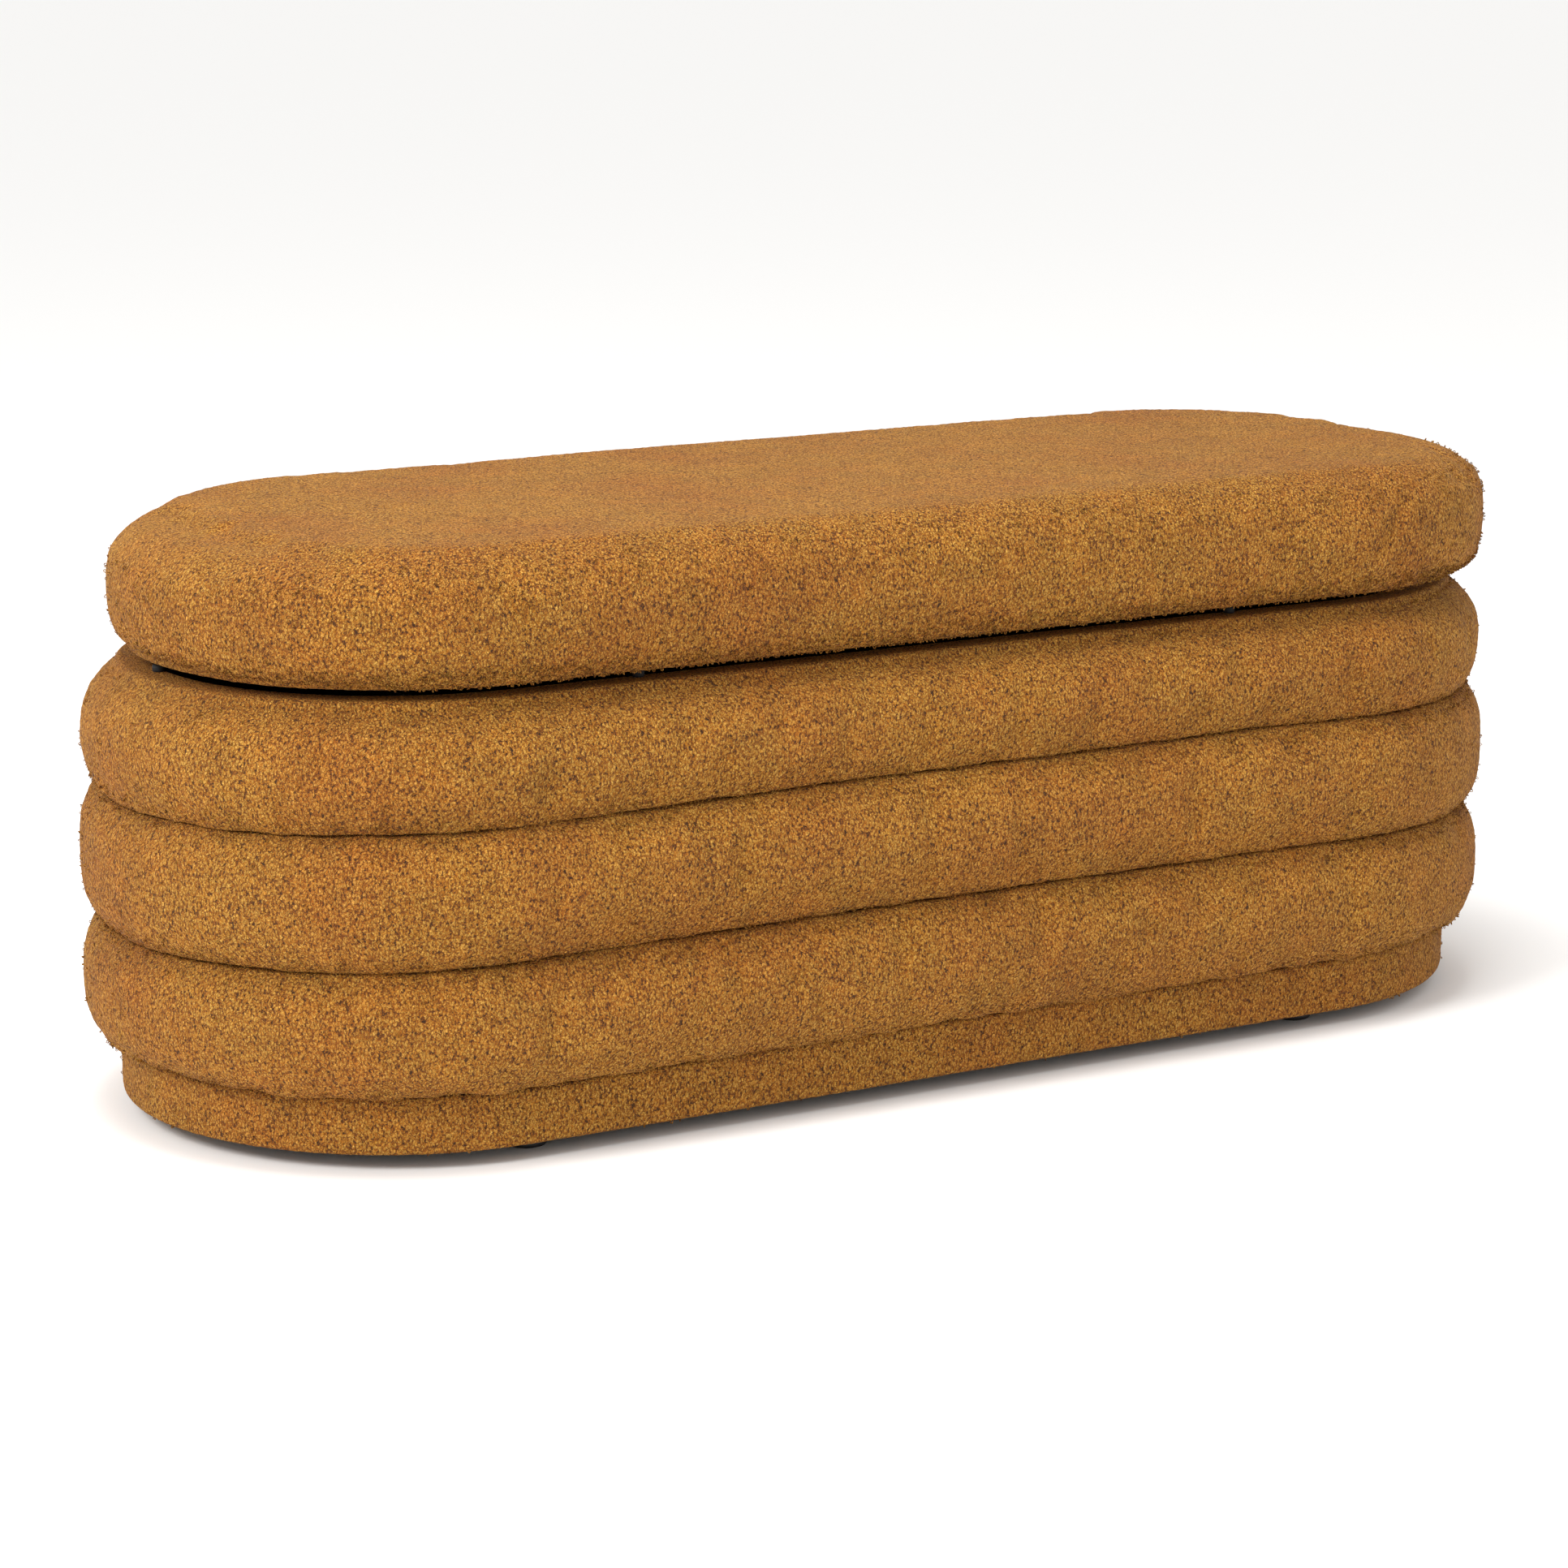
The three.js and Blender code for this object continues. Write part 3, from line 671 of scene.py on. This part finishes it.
lidLook = {
    "crownHeight": 44 * mm,     # widest line above the underside
    "lowerAcross": 42 * mm,
    "upperAcross": 54 * mm,
    "lowerPower": 2.35,
    "upperPower": 3.0,
    "slack": 6 * mm,
    "swelling": 4 * mm,
    "droop": 4 * mm,            # the padding hangs below its board along the front
    "lip": 172 * mm,            # the cloth is stapled inwards to here
    "shift": (9 * mm, -7 * mm),  # the padding sits a little off the board
    "crown": 1.5 * mm,          # how much the seat domes
    "gapBesideBoard": 0.5 * mm,
    "gapOverBoard": 0.4 * mm,
    "lowerSteps": 14,
    "upperSteps": 18,
}


def lidProfile(boardSide, boardTop, crownHeight):
    look = lidLook
    low, high = lidLow.z, lidHigh.z
    side = lidHigh.y - look["slack"]
    acrossLow = look["lowerAcross"] - look["slack"]
    acrossHigh = look["upperAcross"] - look["slack"]
    topHeight = high - crownHeight - look["swelling"]
    lower = quarter((side - acrossLow, crownHeight), acrossLow, look["crownHeight"], -90, 0,
                    look["lowerSteps"], look["lowerPower"])
    upper = quarter((side - acrossHigh, crownHeight), acrossHigh, topHeight, 0, 90,
                    look["upperSteps"], look["upperPower"])[1:]
    topRun = densify([upper[-1], (0, upper[-1][1])], clothStep)[1:]
    lip = look["lip"]
    # the board and its turned-in cloth sit in a recess under the padding
    recess = [(0, boardTop), (boardSide, boardTop), (boardSide, low + 3.4 * mm),
              (lip + 14 * mm, low + 2 * mm), (lip, low + 2 * mm)]
    underneath = densify([(lip, low), lower[0]], clothStep)[:-1]
    return densify(recess, 20 * mm) + underneath + lower + upper + topRun


def makeLidCushion():
    look = lidLook
    low, high = lidLow.z, lidHigh.z
    boardSide = boardHigh.y + look["gapBesideBoard"]
    boardTop = boardHigh.z + look["gapOverBoard"]
    crownHeight = low + look["crownHeight"]
    piece = ovalSweep("lid_cushion", lidProfile(boardSide, boardTop, crownHeight), clothStep, boucle)
    points = getPoints(piece.data)
    radius = planRadius(points)
    under = 1 - smoothStep(points[:, 2], low + 4 * mm, low + 16 * mm)
    core = (radius < boardSide + 1 * mm) & (points[:, 2] < boardTop + 1 * mm)
    swell(piece, np.maximum(under, core.astype(float)), look["swelling"])
    subdivide(piece)
    points = getPoints(piece.data)
    radius = planRadius(points)
    free = np.maximum(smoothStep(radius, boardSide + 2 * mm, boardSide + 20 * mm),
                      smoothStep(points[:, 2], boardTop + 20 * mm, boardTop + 50 * mm))
    points[:, 0] += free * look["shift"][0]
    points[:, 1] += free * look["shift"][1]
    hanging = smoothStep(radius, boardSide + 1 * mm, boardSide + 14 * mm)
    hanging *= smoothStep(-points[:, 1], 0, 150 * mm)
    points[:, 2] -= look["droop"] * hanging * (1 - smoothStep(points[:, 2], low, crownHeight + 10 * mm))
    onTop = smoothStep(points[:, 2], high - 30 * mm, high - 5 * mm)
    points[:, 2] += onTop * look["crown"] * (1 - (np.minimum(radius, endRadius) / endRadius) ** 2)
    setPoints(piece.data, points)
    handSewn(piece, [], 11, -20 * mm)
    declareCushion(piece, "lid", 0.9, "lid_cover", "lid_foam")


for channelLevel in range(3):
    makeChannel(channelLevel)
makePlinthBand()
makeLidCushion()


# boards and linings

def standsFor(piece, body, slotName, *nodes):
    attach(piece, body)
    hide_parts(*nodes)
    print("made", piece.name)


def bodyOf(node):
    for bodyName, nodes in frame["record"]["behaviour"]["bodies"].items():
        if node in nodes:
            return bodyName


def flatten(piece):
    piece.data.polygons.foreach_set("use_smooth", [False] * len(piece.data.polygons))


rimLook = {"width": 20 * mm, "ease": 1 * mm}


# plywood ring that the hinges are screwed to
def makeRim():
    ease = rimLook["ease"]
    inner, outer = rimHigh.y - rimLook["width"], rimHigh.y
    low, high = rimLow.z, rimHigh.z
    profile = [(inner + ease, low), (outer - ease, low), (outer, low + ease), (outer, high - ease),
               (outer - ease, high), (inner + ease, high), (inner, high - ease), (inner, low + ease)]
    piece = ovalSweep("rim_board", profile, 8 * mm, plywood)
    flatten(piece)
    standsFor(piece, "carcass", "plywood", "top_rim")


tubLook = {"thickness": 1.2 * mm, "slack": 1.6 * mm, "foldPitch": 70 * mm}


# fabric tub in the storage space, a little slack between its staples
def makeTub():
    low, high = tubLow.z, tubHigh.z
    outer = tubHigh.y
    inner = outer - tubLook["thickness"]
    floorHeight = low + tubLook["thickness"]
    corners = [(0, low), (outer, low), (outer, high), (inner, high), (inner, floorHeight), (0, floorHeight)]
    piece = ovalSweep("storage_tub", densify(corners, 12 * mm), 10 * mm, nonwoven)
    points = getPoints(piece.data)
    radius = planRadius(points)
    loose = smoothStep(high - points[:, 2], 4 * mm, 60 * mm)
    loose *= smoothStep(points[:, 2] - low, 2 * mm, 50 * mm)
    fold = (noiseAt(points * [1, 1, 0.35], tubLook["foldPitch"], 5) + 0.8) * tubLook["slack"] * loose
    wall = radius > inner - 4 * mm
    outward = points * [1, 1, 0]
    outward[:, 0] -= np.clip(points[:, 0], -straightHalf, straightHalf)
    outward /= np.maximum(np.linalg.norm(outward, axis=1, keepdims=True), 1e-9)
    points -= outward * (fold * wall)[:, None]
    setPoints(piece.data, points)
    standsFor(piece, "carcass", "lining", "box_lining")


hemLook = {"width": 10 * mm, "step": 0.2 * mm, "edge": 0.4 * mm}


# thin oval sheet with a folded hem, stapled along its edge, that sags in the middle
def ovalSheet(name, node, radius, low, high, sag):
    hem, step, edge = hemLook["width"], hemLook["step"], hemLook["edge"]
    profile = densify([(0, low), (radius - hem, low)], 14 * mm)
    profile += [(radius - hem, low - step), (radius - edge, low - step), (radius, low + step),
                (radius, high - step), (radius - edge, high), (radius - hem, high)]
    profile += densify([(radius - hem, high), (0, high)], 14 * mm)[1:]
    piece = ovalSweep(name, profile, 9 * mm, nonwoven)
    points = getPoints(piece.data)
    inPlan = points * [1, 1, 0]
    give = np.clip(1 - (planRadius(points) / (radius - 2 * hem)) ** 2, 0, 1)
    points[:, 2] -= give * sag * (1 + 0.5 * noiseAt(inPlan, 160 * mm, 2))
    setPoints(piece.data, points)
    standsFor(piece, bodyOf(node), "lining", node)


makeRim()
makeTub()
sheetLow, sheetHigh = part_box("lid_lining")
sheetBottom = sheetLow.z + hemLook["step"]
ovalSheet("lid_underside", "lid_lining", sheetHigh.y, sheetBottom, sheetHigh.z, 0.0)
dustLow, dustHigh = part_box("dust_cover")
dustBottom = dustLow.z + hemLook["step"]
ovalSheet("dust_sheet", "dust_cover", dustHigh.y, dustBottom, dustHigh.z, 2 * mm)


# turned parts

# turns a profile of (radius, distance) about an axis through the middle of the CAD node's box
def turned(name, node, axis, profile, segments, material, slotName):
    low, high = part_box(node)
    middle = (low + high) / 2
    points = []
    for radius, along in profile:
        for k in range(segments):
            turn = 2 * math.pi * k / segments
            across = (radius * math.cos(turn), radius * math.sin(turn))
            if axis == "x":
                points.append((along, middle.y + across[0], middle.z + across[1]))
            else:
                points.append((middle.x + across[0], middle.y + across[1], along))
    faces = ringFaces(len(profile) - 1, segments, len(profile))
    piece = newPiece(name, points, faces, material)
    cleanMesh(piece)
    standsFor(piece, bodyOf(node), slotName, node)


# (in from the widest line, up from the floor) in millimetres: a dished sole, a rounded edge, a tapered
# side and a groove under the collar
glideLook = {
    "hollow": 0.6 * mm,
    "side": [(7, 0.6), (6, 0), (2.2, 0), (0.9, 0.5), (0.2, 1.6), (0, 2.6), (0.5, 7), (1.1, 7.3), (1.1, 8.1),
             (0.7, 8.4)],
    "collarInset": 1 * mm,
    "ease": 0.4 * mm,
}


def makeFeet():
    look = glideLook
    for corner in ("front_left", "front_right", "back_left", "back_right"):
        node = "foot_" + corner
        low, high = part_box(node)
        wide = (high.x - low.x) / 2
        collar = wide - look["collarInset"]
        profile = [(0, look["hollow"])] + [(wide - inwards * mm, up * mm) for inwards, up in look["side"]]
        profile += [(collar, high.z - look["ease"]), (collar - look["ease"], high.z), (0, high.z)]
        turned("glide_" + corner, node, "z", profile, 40, mouldedBlack, "foot_plastic")


bumperLook = {"edge": 0.3 * mm, "wall": 1.2 * mm, "domeSteps": 6}


# rubber dots that stand on the turned-over cloth and meet the closed lid
def makeBumpers():
    for place in ("front_left", "front_right", "end_left", "end_right"):
        node = "bumper_" + place
        low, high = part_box(node)
        wide = (high.x - low.x) / 2
        foot = low.z - channelLook["topDip"]
        edge = bumperLook["edge"]
        wallTop = low.z + bumperLook["wall"]
        profile = [(0, foot), (wide - edge, foot), (wide, foot + edge)]
        profile += quarter((0, wallTop), wide, high.z - wallTop, 0, 90, bumperLook["domeSteps"])
        turned("dot_" + place, node, "z", profile, 28, rubber, "bumper_rubber")


rivetLook = {"head": 5.5 * mm, "headHeight": 1.2 * mm, "headEdge": 0.3 * mm, "shank": 3 * mm}


# rivets of the folding stays, domed at both ends
def makeRivets():
    head, headHeight, edge, shank = rivetLook.values()
    dome = [(head * math.cos(math.radians(t)), edge + (headHeight - edge) * math.sin(math.radians(t)))
            for t in (0, 20, 40, 60, 78, 90)]
    for side in ("left", "right"):
        for where in ("body", "elbow", "lid"):
            node = "stay_" + where + "_rivet_" + side
            low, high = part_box(node)
            firstFace, lastFace = low.x + headHeight, high.x - headHeight
            profile = [(radius, firstFace - rise) for radius, rise in reversed(dome)]
            profile += [(head, firstFace), (shank, firstFace), (shank, lastFace), (head, lastFace)]
            profile += [(radius, lastFace + rise) for radius, rise in dome]
            turned("rivet_" + where + "_" + side, node, "x", profile, 28, zincSteel, "zinc_steel")


# (share of the radius, share of the radius inwards) of the rounded end of a pin
pinLook = {"end": [(0, 0), (0.5, 0.06), (0.8, 0.25), (0.96, 0.55), (1, 1)]}


def makeHingePins():
    for place in ("left", "middle", "right"):
        node = "hinge_pin_" + place
        low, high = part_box(node)
        wide = (high.y - low.y) / 2
        end = pinLook["end"]
        profile = [(wide * across, low.x + wide * along) for across, along in end]
        profile += [(wide * across, high.x - wide * along) for across, along in reversed(end)]
        turned("pin_" + place, node, "x", profile, 24, zincSteel, "zinc_steel")


makeFeet()
makeBumpers()
makeRivets()
makeHingePins()


# stamped and sawn parts keep their CAD shape, with eased edges
easedParts = {
    ("hinge_body", "hinge_lid", "stay_lower", "stay_upper", "stay_body_b", "stay_lid_b"): 0.25 * mm,
    ("front_panel", "back_panel", "end_shell", "splice", "floor_panel", "lid_board"): 0.8 * mm,
}
for starts, easeWidth in easedParts.items():
    for nodeName, nodeObject in frame["nodes"].items():
        if not nodeName.startswith(starts):
            continue
        ease = nodeObject.modifiers.new("eased_edges", "BEVEL")
        ease.width = easeWidth
        ease.segments = 2
        ease.limit_method = "ANGLE"
        ease.angle_limit = math.radians(50)


# fixings, repeated with Geometry Nodes

# copies a small shape to every place, its Z along "facing" and its X along "along"
def makeRepeater():
    tree = bpy.data.node_groups.new("repeater", "GeometryNodeTree")
    for label, kind in (("Places", "NodeSocketGeometry"), ("Shape", "NodeSocketObject"),
                        ("Turn wobble", "NodeSocketFloat"), ("Size wobble", "NodeSocketFloat"),
                        ("Seed", "NodeSocketInt"), ("Material", "NodeSocketMaterial")):
        tree.interface.new_socket(label, in_out="INPUT", socket_type=kind)
    tree.interface.new_socket("Result", in_out="OUTPUT", socket_type="NodeSocketGeometry")
    given = addNode(tree, "NodeGroupInput").outputs
    facing, along = [addNode(tree, "GeometryNodeInputNamedAttribute", None, {"Name": label},
                             data_type="FLOAT_VECTOR") for label in ("facing", "along")]
    upright = addNode(tree, "FunctionNodeAlignRotationToVector", {"Vector": facing.outputs[0]}, axis="Z")
    lined = addNode(tree, "FunctionNodeAlignRotationToVector",
                    {"Rotation": upright.outputs[0], "Vector": along.outputs[0]}, axis="X", pivot_axis="Z")
    less = addNode(tree, "ShaderNodeMath", {0: given["Turn wobble"]}, {1: -1.0}, operation="MULTIPLY")
    turn = addNode(tree, "FunctionNodeRandomValue",
                   {2: less.outputs[0], 3: given["Turn wobble"], "Seed": given["Seed"]}, data_type="FLOAT")
    spin = addNode(tree, "FunctionNodeAxisAngleToRotation", {"Angle": turn.outputs[1]}, {"Axis": (0, 0, 1)})
    rotation = addNode(tree, "FunctionNodeRotateRotation",
                       {"Rotation": lined.outputs[0], "Rotate By": spin.outputs[0]}, rotation_space="LOCAL")
    smallest = addNode(tree, "ShaderNodeMath", {1: given["Size wobble"]}, {0: 1.0}, operation="SUBTRACT")
    largest = addNode(tree, "ShaderNodeMath", {1: given["Size wobble"]}, {0: 1.0}, operation="ADD")
    size = addNode(tree, "FunctionNodeRandomValue",
                   {2: smallest.outputs[0], 3: largest.outputs[0], "Seed": given["Seed"]},
                   data_type="FLOAT")
    shape = addNode(tree, "GeometryNodeObjectInfo", {"Object": given["Shape"]})
    copies = addNode(tree, "GeometryNodeInstanceOnPoints",
                     {"Points": given["Places"], "Instance": shape.outputs["Geometry"],
                      "Rotation": rotation.outputs[0], "Scale": size.outputs[1]})
    real = addNode(tree, "GeometryNodeRealizeInstances", {"Geometry": copies.outputs[0]})
    painted = addNode(tree, "GeometryNodeSetMaterial",
                      {"Geometry": real.outputs[0], "Material": given["Material"]})
    addNode(tree, "NodeGroupOutput", {"Result": painted.outputs[0]})
    return tree


repeater = makeRepeater()


# places are (position, facing, along); the shape is used up, and the result is a plain mesh on its body
def repeat(name, shape, places, material, body, turnWobble=0.0, sizeWobble=0.0, seed=1):
    holder = newPiece(name, [place[0] for place in places], [], material)
    for column, label in ((1, "facing"), (2, "along")):
        layer = holder.data.attributes.new(label, "FLOAT_VECTOR", "POINT")
        layer.data.foreach_set("vector", np.array([place[column] for place in places], dtype=float).ravel())
    repeating = holder.modifiers.new("repeat", "NODES")
    repeating.node_group = repeater
    sockets = {item.name: item.identifier for item in repeater.interface.items_tree}
    for label, value in (("Shape", shape), ("Turn wobble", turnWobble), ("Size wobble", sizeWobble),
                         ("Seed", seed), ("Material", material)):
        repeating[sockets[label]] = value
    takeShape(holder)
    for label in ("facing", "along"):
        if label in holder.data.attributes:
            holder.data.attributes.remove(holder.data.attributes[label])
    shapeMesh = shape.data
    bpy.data.objects.remove(shape)
    bpy.data.meshes.remove(shapeMesh)
    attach(holder, body)
    print("made", holder.name, len(holder.data.polygons))


# short wire along a path near its own XZ plane, closed at both ends
def tube(name, path, radius, sides, material):
    points = []
    path = [Vector(p) for p in path]
    for i, here in enumerate(path):
        direction = (path[min(i + 1, len(path) - 1)] - path[max(i - 1, 0)]).normalized()
        sideways = direction.cross(Vector((0, 1, 0.01))).normalized()
        upwards = direction.cross(sideways).normalized()
        for k in range(sides):
            turn = 2 * math.pi * k / sides
            points.append(here + (sideways * math.cos(turn) + upwards * math.sin(turn)) * radius)
    piece = newPiece(name, points, cappedRings(len(path), sides), material)
    cleanMesh(piece)
    return piece


stapleLook = {
    "crown": 10 * mm,
    "leg": 1.2 * mm,            # what sinks into the cloth
    "wire": 0.4 * mm,
    "pitch": 34 * mm,
    "fromEdge": 5 * mm,
    "turnWobble": 0.16,         # a staple gun held by hand
}


def makeStaple():
    half, leg, wire = stapleLook["crown"] / 2, stapleLook["leg"], stapleLook["wire"]
    bend = half - 0.5 * mm
    path = [(-half, 0, -leg), (-half, 0, 0), (-bend, 0, wire),
            (bend, 0, wire), (half, 0, 0), (half, 0, -leg)]
    return tube("staple", path, wire, 6, zincSteel)


# staples end to end round the oval at one height, facing down
def stapleRow(name, body, radius, height):
    columns = ovalColumns(stapleLook["pitch"])
    ring = ovalPoints(columns, radius)
    places = []
    for i, (x, y) in enumerate(ring):
        before, after = ring[i - 1], ring[(i + 1) % len(ring)]
        along = Vector((after[0] - before[0], after[1] - before[1], 0)).normalized()
        places.append(((x, y, height), (0, 0, -1), tuple(along)))
    repeat(name, makeStaple(), places, zincSteel, body,
           turnWobble=stapleLook["turnWobble"], seed=4)


stapleRow("lid_staples", "lid", sheetHigh.y - stapleLook["fromEdge"], sheetLow.z)
stapleRow("dust_staples", "carcass", dustHigh.y - stapleLook["fromEdge"], dustLow.z)


screwLook = {
    "rings": [(3.2, -0.5), (3.2, 0.02), (2.7, 0.2), (1.5, 0.3)],  # (radius, height) in millimetres
    "recess": (1.45 * mm, 0.55 * mm, 0.4 * mm),  # reach of the cross, its core and its depth
    "segments": 12,
    "hingeSpread": 22 * mm,
    "fromLeafEdge": 6.5 * mm,
    "leafGap": 0.3 * mm,
    "leafThickness": 1.2 * mm,
    "flangeSpread": 11 * mm,
    "fromFlangeEnd": 7 * mm,
    "flangeThickness": 2 * mm,
}


# countersunk head, slightly domed, with a cross recess
def makeScrewHead():
    segments = screwLook["segments"]
    crossReach, core, depth = screwLook["recess"]
    turns = [2 * math.pi * k / segments for k in range(segments)]
    points = [(r * mm * math.cos(turn), r * mm * math.sin(turn), z * mm)
              for r, z in screwLook["rings"] for turn in turns]
    for k, turn in enumerate(turns):
        reach = crossReach if k % 3 == 0 else core
        points.append((reach * math.cos(turn), reach * math.sin(turn), -depth))
    faces = cappedRings(len(screwLook["rings"]) + 1, segments)
    piece = newPiece("screw_head", points, faces, zincSteel)
    cleanMesh(piece)
    flatten(piece)
    return piece


def screwRow(name, body, places):
    repeat(name, makeScrewHead(), places, zincSteel, body, turnWobble=3.0, seed=9)


def makeScrews():
    look = screwLook
    rimLeafTop = channelBoxes[2][1].z + look["leafGap"] + look["leafThickness"]
    lidLeafUnder = lidLow.z - look["leafGap"] - look["leafThickness"]
    onBody, onLid = [], []
    for place in ("left", "middle", "right"):
        for nodeStart, row, facing in (("hinge_body_leaf_", onBody, 1), ("hinge_lid_leaf_", onLid, -1)):
            low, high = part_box(nodeStart + place)
            middle = (low.x + high.x) / 2
            plate = rimLeafTop if facing > 0 else lidLeafUnder
            for offset in (-1, 0, 1):
                x = middle + offset * look["hingeSpread"]
                row.append(((x, low.y + look["fromLeafEdge"], plate), (0, 0, facing), (1, 0, 0)))
    for side, out in (("left", -1), ("right", 1)):
        low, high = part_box("stay_body_bracket_" + side)
        x = high.x - look["fromFlangeEnd"] if out > 0 else low.x + look["fromFlangeEnd"]
        wall = high.y - look["flangeThickness"]
        for offset in (-1, 1):
            z = (low.z + high.z) / 2 + offset * look["flangeSpread"]
            onBody.append(((x, wall, z), (0, -1, 0), (1, 0, 0)))
        low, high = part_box("stay_lid_bracket_" + side)
        x = low.x + look["fromFlangeEnd"] if out > 0 else high.x - look["fromFlangeEnd"]
        underFlange = high.z - look["flangeThickness"]
        for offset in (-1, 1):
            y = (low.y + high.y) / 2 + offset * look["flangeSpread"]
            onLid.append(((x, y, underFlange), (0, 0, -1), (1, 0, 0)))
    screwRow("body_screws", "carcass", onBody)
    screwRow("lid_screws", "lid", onLid)


makeScrews()


# loose loops of yarn, most along the lower edges and seams

curlLook = {
    "reach": 1.5 * mm,          # how far a loop stands out of the cloth
    "width": 1.1 * mm,
    "yarn": 0.32 * mm,
    "edgeCount": 3600,
    "seamCount": 1700,
    "allOverCount": 2300,
    "edgeBand": 16 * mm,        # up from the lid's lower edge
    "seamBand": 9 * mm,
    "jitter": 1.2 * mm,
    "lean": 0.35,
    "sizeWobble": 0.35,
}


def makeCurl():
    reach, half = curlLook["reach"], curlLook["width"] / 2
    root = -0.5 * mm
    path = [(-half, 0, root), (-half * 1.3, 0.2 * half, reach * 0.5), (-half * 0.2, 0.5 * half, reach),
            (half, 0, reach * 0.8), (half * 0.9, -0.4 * half, reach * 0.1), (half * 0.4, -0.4 * half, root)]
    return tube("curl", path, curlLook["yarn"], 3, boucle)


# loops on the piece's outside in each zone of (lowest height, highest height, how many)
def curlsOn(pieceName, body, zones, seed):
    piece = bpy.data.objects[pieceName]
    points = getPoints(piece.data)
    normals = getNormals(piece.data)
    radius = planRadius(points)
    chance = np.random.default_rng(seed)
    places = []
    for low, high, count in zones:
        inZone = (points[:, 2] > low) & (points[:, 2] < high) & (radius > wallRadius + 3.5 * mm)
        chosen = chance.choice(np.flatnonzero(inZone), size=count)
        jitter = chance.normal(0, curlLook["jitter"], (count, 3))
        for index, nudge in zip(chosen, jitter):
            normal = normals[index]
            nudge = nudge - normal * np.dot(nudge, normal)
            lean = normal + chance.normal(0, curlLook["lean"], 3)
            aside = chance.normal(0, 1, 3)
            lean /= np.linalg.norm(lean)
            aside /= np.linalg.norm(aside)
            places.append((points[index] + nudge, lean, aside))
    repeat(pieceName + "_loops", makeCurl(), places, boucle, body,
           sizeWobble=curlLook["sizeWobble"], seed=seed)


def makeLooseLoops():
    look = curlLook
    low, high = lidLow.z, lidHigh.z
    zones = [(low + 2 * mm, low + look["edgeBand"], look["edgeCount"]),
             (low, high + 9 * mm, look["allOverCount"])]
    curlsOn("lid_cushion", "lid", zones, 21)
    for name, (boxLow, boxHigh) in zip(channelNames, channelBoxes):
        low, high = boxLow.z, boxHigh.z
        zones = [(low, low + look["seamBand"], look["seamCount"]),
                 (high - look["seamBand"], high - 1 * mm, look["seamCount"] // 2),
                 (low, high, look["allOverCount"] // 2)]
        curlsOn(name + "_pad", "carcass", zones, round(low * 1000))
    curlsOn("plinth_band", "carcass", [(plinthLow.z, plinthHigh.z, look["allOverCount"] // 5)], 29)


makeLooseLoops()


# floor, light and camera

cameraView = {
    "azimuth": -30.0,
    "elevation": 12.45,
    "distance": 3.393,
    "target": (-0.0289, 0.0, 0.2006),
    "lens": 98.7,
}


def makeCamera():
    data = bpy.data.cameras.new("camera")
    data.sensor_width = 36
    data.lens = cameraView["lens"]
    camera = bpy.data.objects.new("camera", data)
    bpy.context.scene.collection.objects.link(camera)
    turn, rise = math.radians(cameraView["azimuth"]), math.radians(cameraView["elevation"])
    back = Vector((math.sin(turn) * math.cos(rise), -math.cos(turn) * math.cos(rise), math.sin(rise)))
    camera.location = Vector(cameraView["target"]) + back * cameraView["distance"]
    camera.rotation_euler = (-back).to_track_quat("-Z", "Y").to_euler()
    bpy.context.scene.camera = camera


studioLook = {
    "floorColour": "#f7f6f4",
    "floorHalf": 30.0,
    "skyColour": "#ffffff",
    "skyStrength": 1.0,
    "aim": (0, 0, 0.2),
    # where each softbox stands, its size and its power
    "key_left": ((-3.0, -0.9, 2.4), (1.2, 1.2), 80),
    "overhead": ((-0.4, -0.3, 3.2), (1.6, 1.4), 60),
}


# matt painted studio floor: plain and pale
def makeFloor():
    half = studioLook["floorHalf"]
    corners = [(-half, -half, 0), (half, -half, 0), (half, half, 0), (-half, half, 0)]
    material, tree = newMaterial("pale_floor")[:2]
    finishShader(tree, {}, {"Base Color": linearColour(studioLook["floorColour"]), "Roughness": 0.9})
    floor = newPiece("studio_floor", corners, [(0, 1, 2, 3)], material)


def addSoftbox(name):
    place, size, power = studioLook[name]
    data = bpy.data.lights.new(name, "AREA")
    data.shape = "RECTANGLE"
    data.size, data.size_y = size
    data.energy = power
    light = bpy.data.objects.new(name, data)
    light.location = place
    aim = Vector(studioLook["aim"]) - Vector(place)
    light.rotation_euler = aim.to_track_quat("-Z", "Y").to_euler()
    bpy.context.scene.collection.objects.link(light)


def makeLights():
    addSoftbox("key_left")
    addSoftbox("overhead")
    world = bpy.data.worlds.new("studio")
    bpy.context.scene.world = world
    world.use_nodes = True
    background = world.node_tree.nodes["Background"]
    background.inputs["Color"].default_value = linearColour(studioLook["skyColour"])
    background.inputs["Strength"].default_value = studioLook["skyStrength"]


makeCamera()
makeFloor()
makeLights()
bpy.context.scene.view_settings.view_transform = "Standard"
print("stage set")
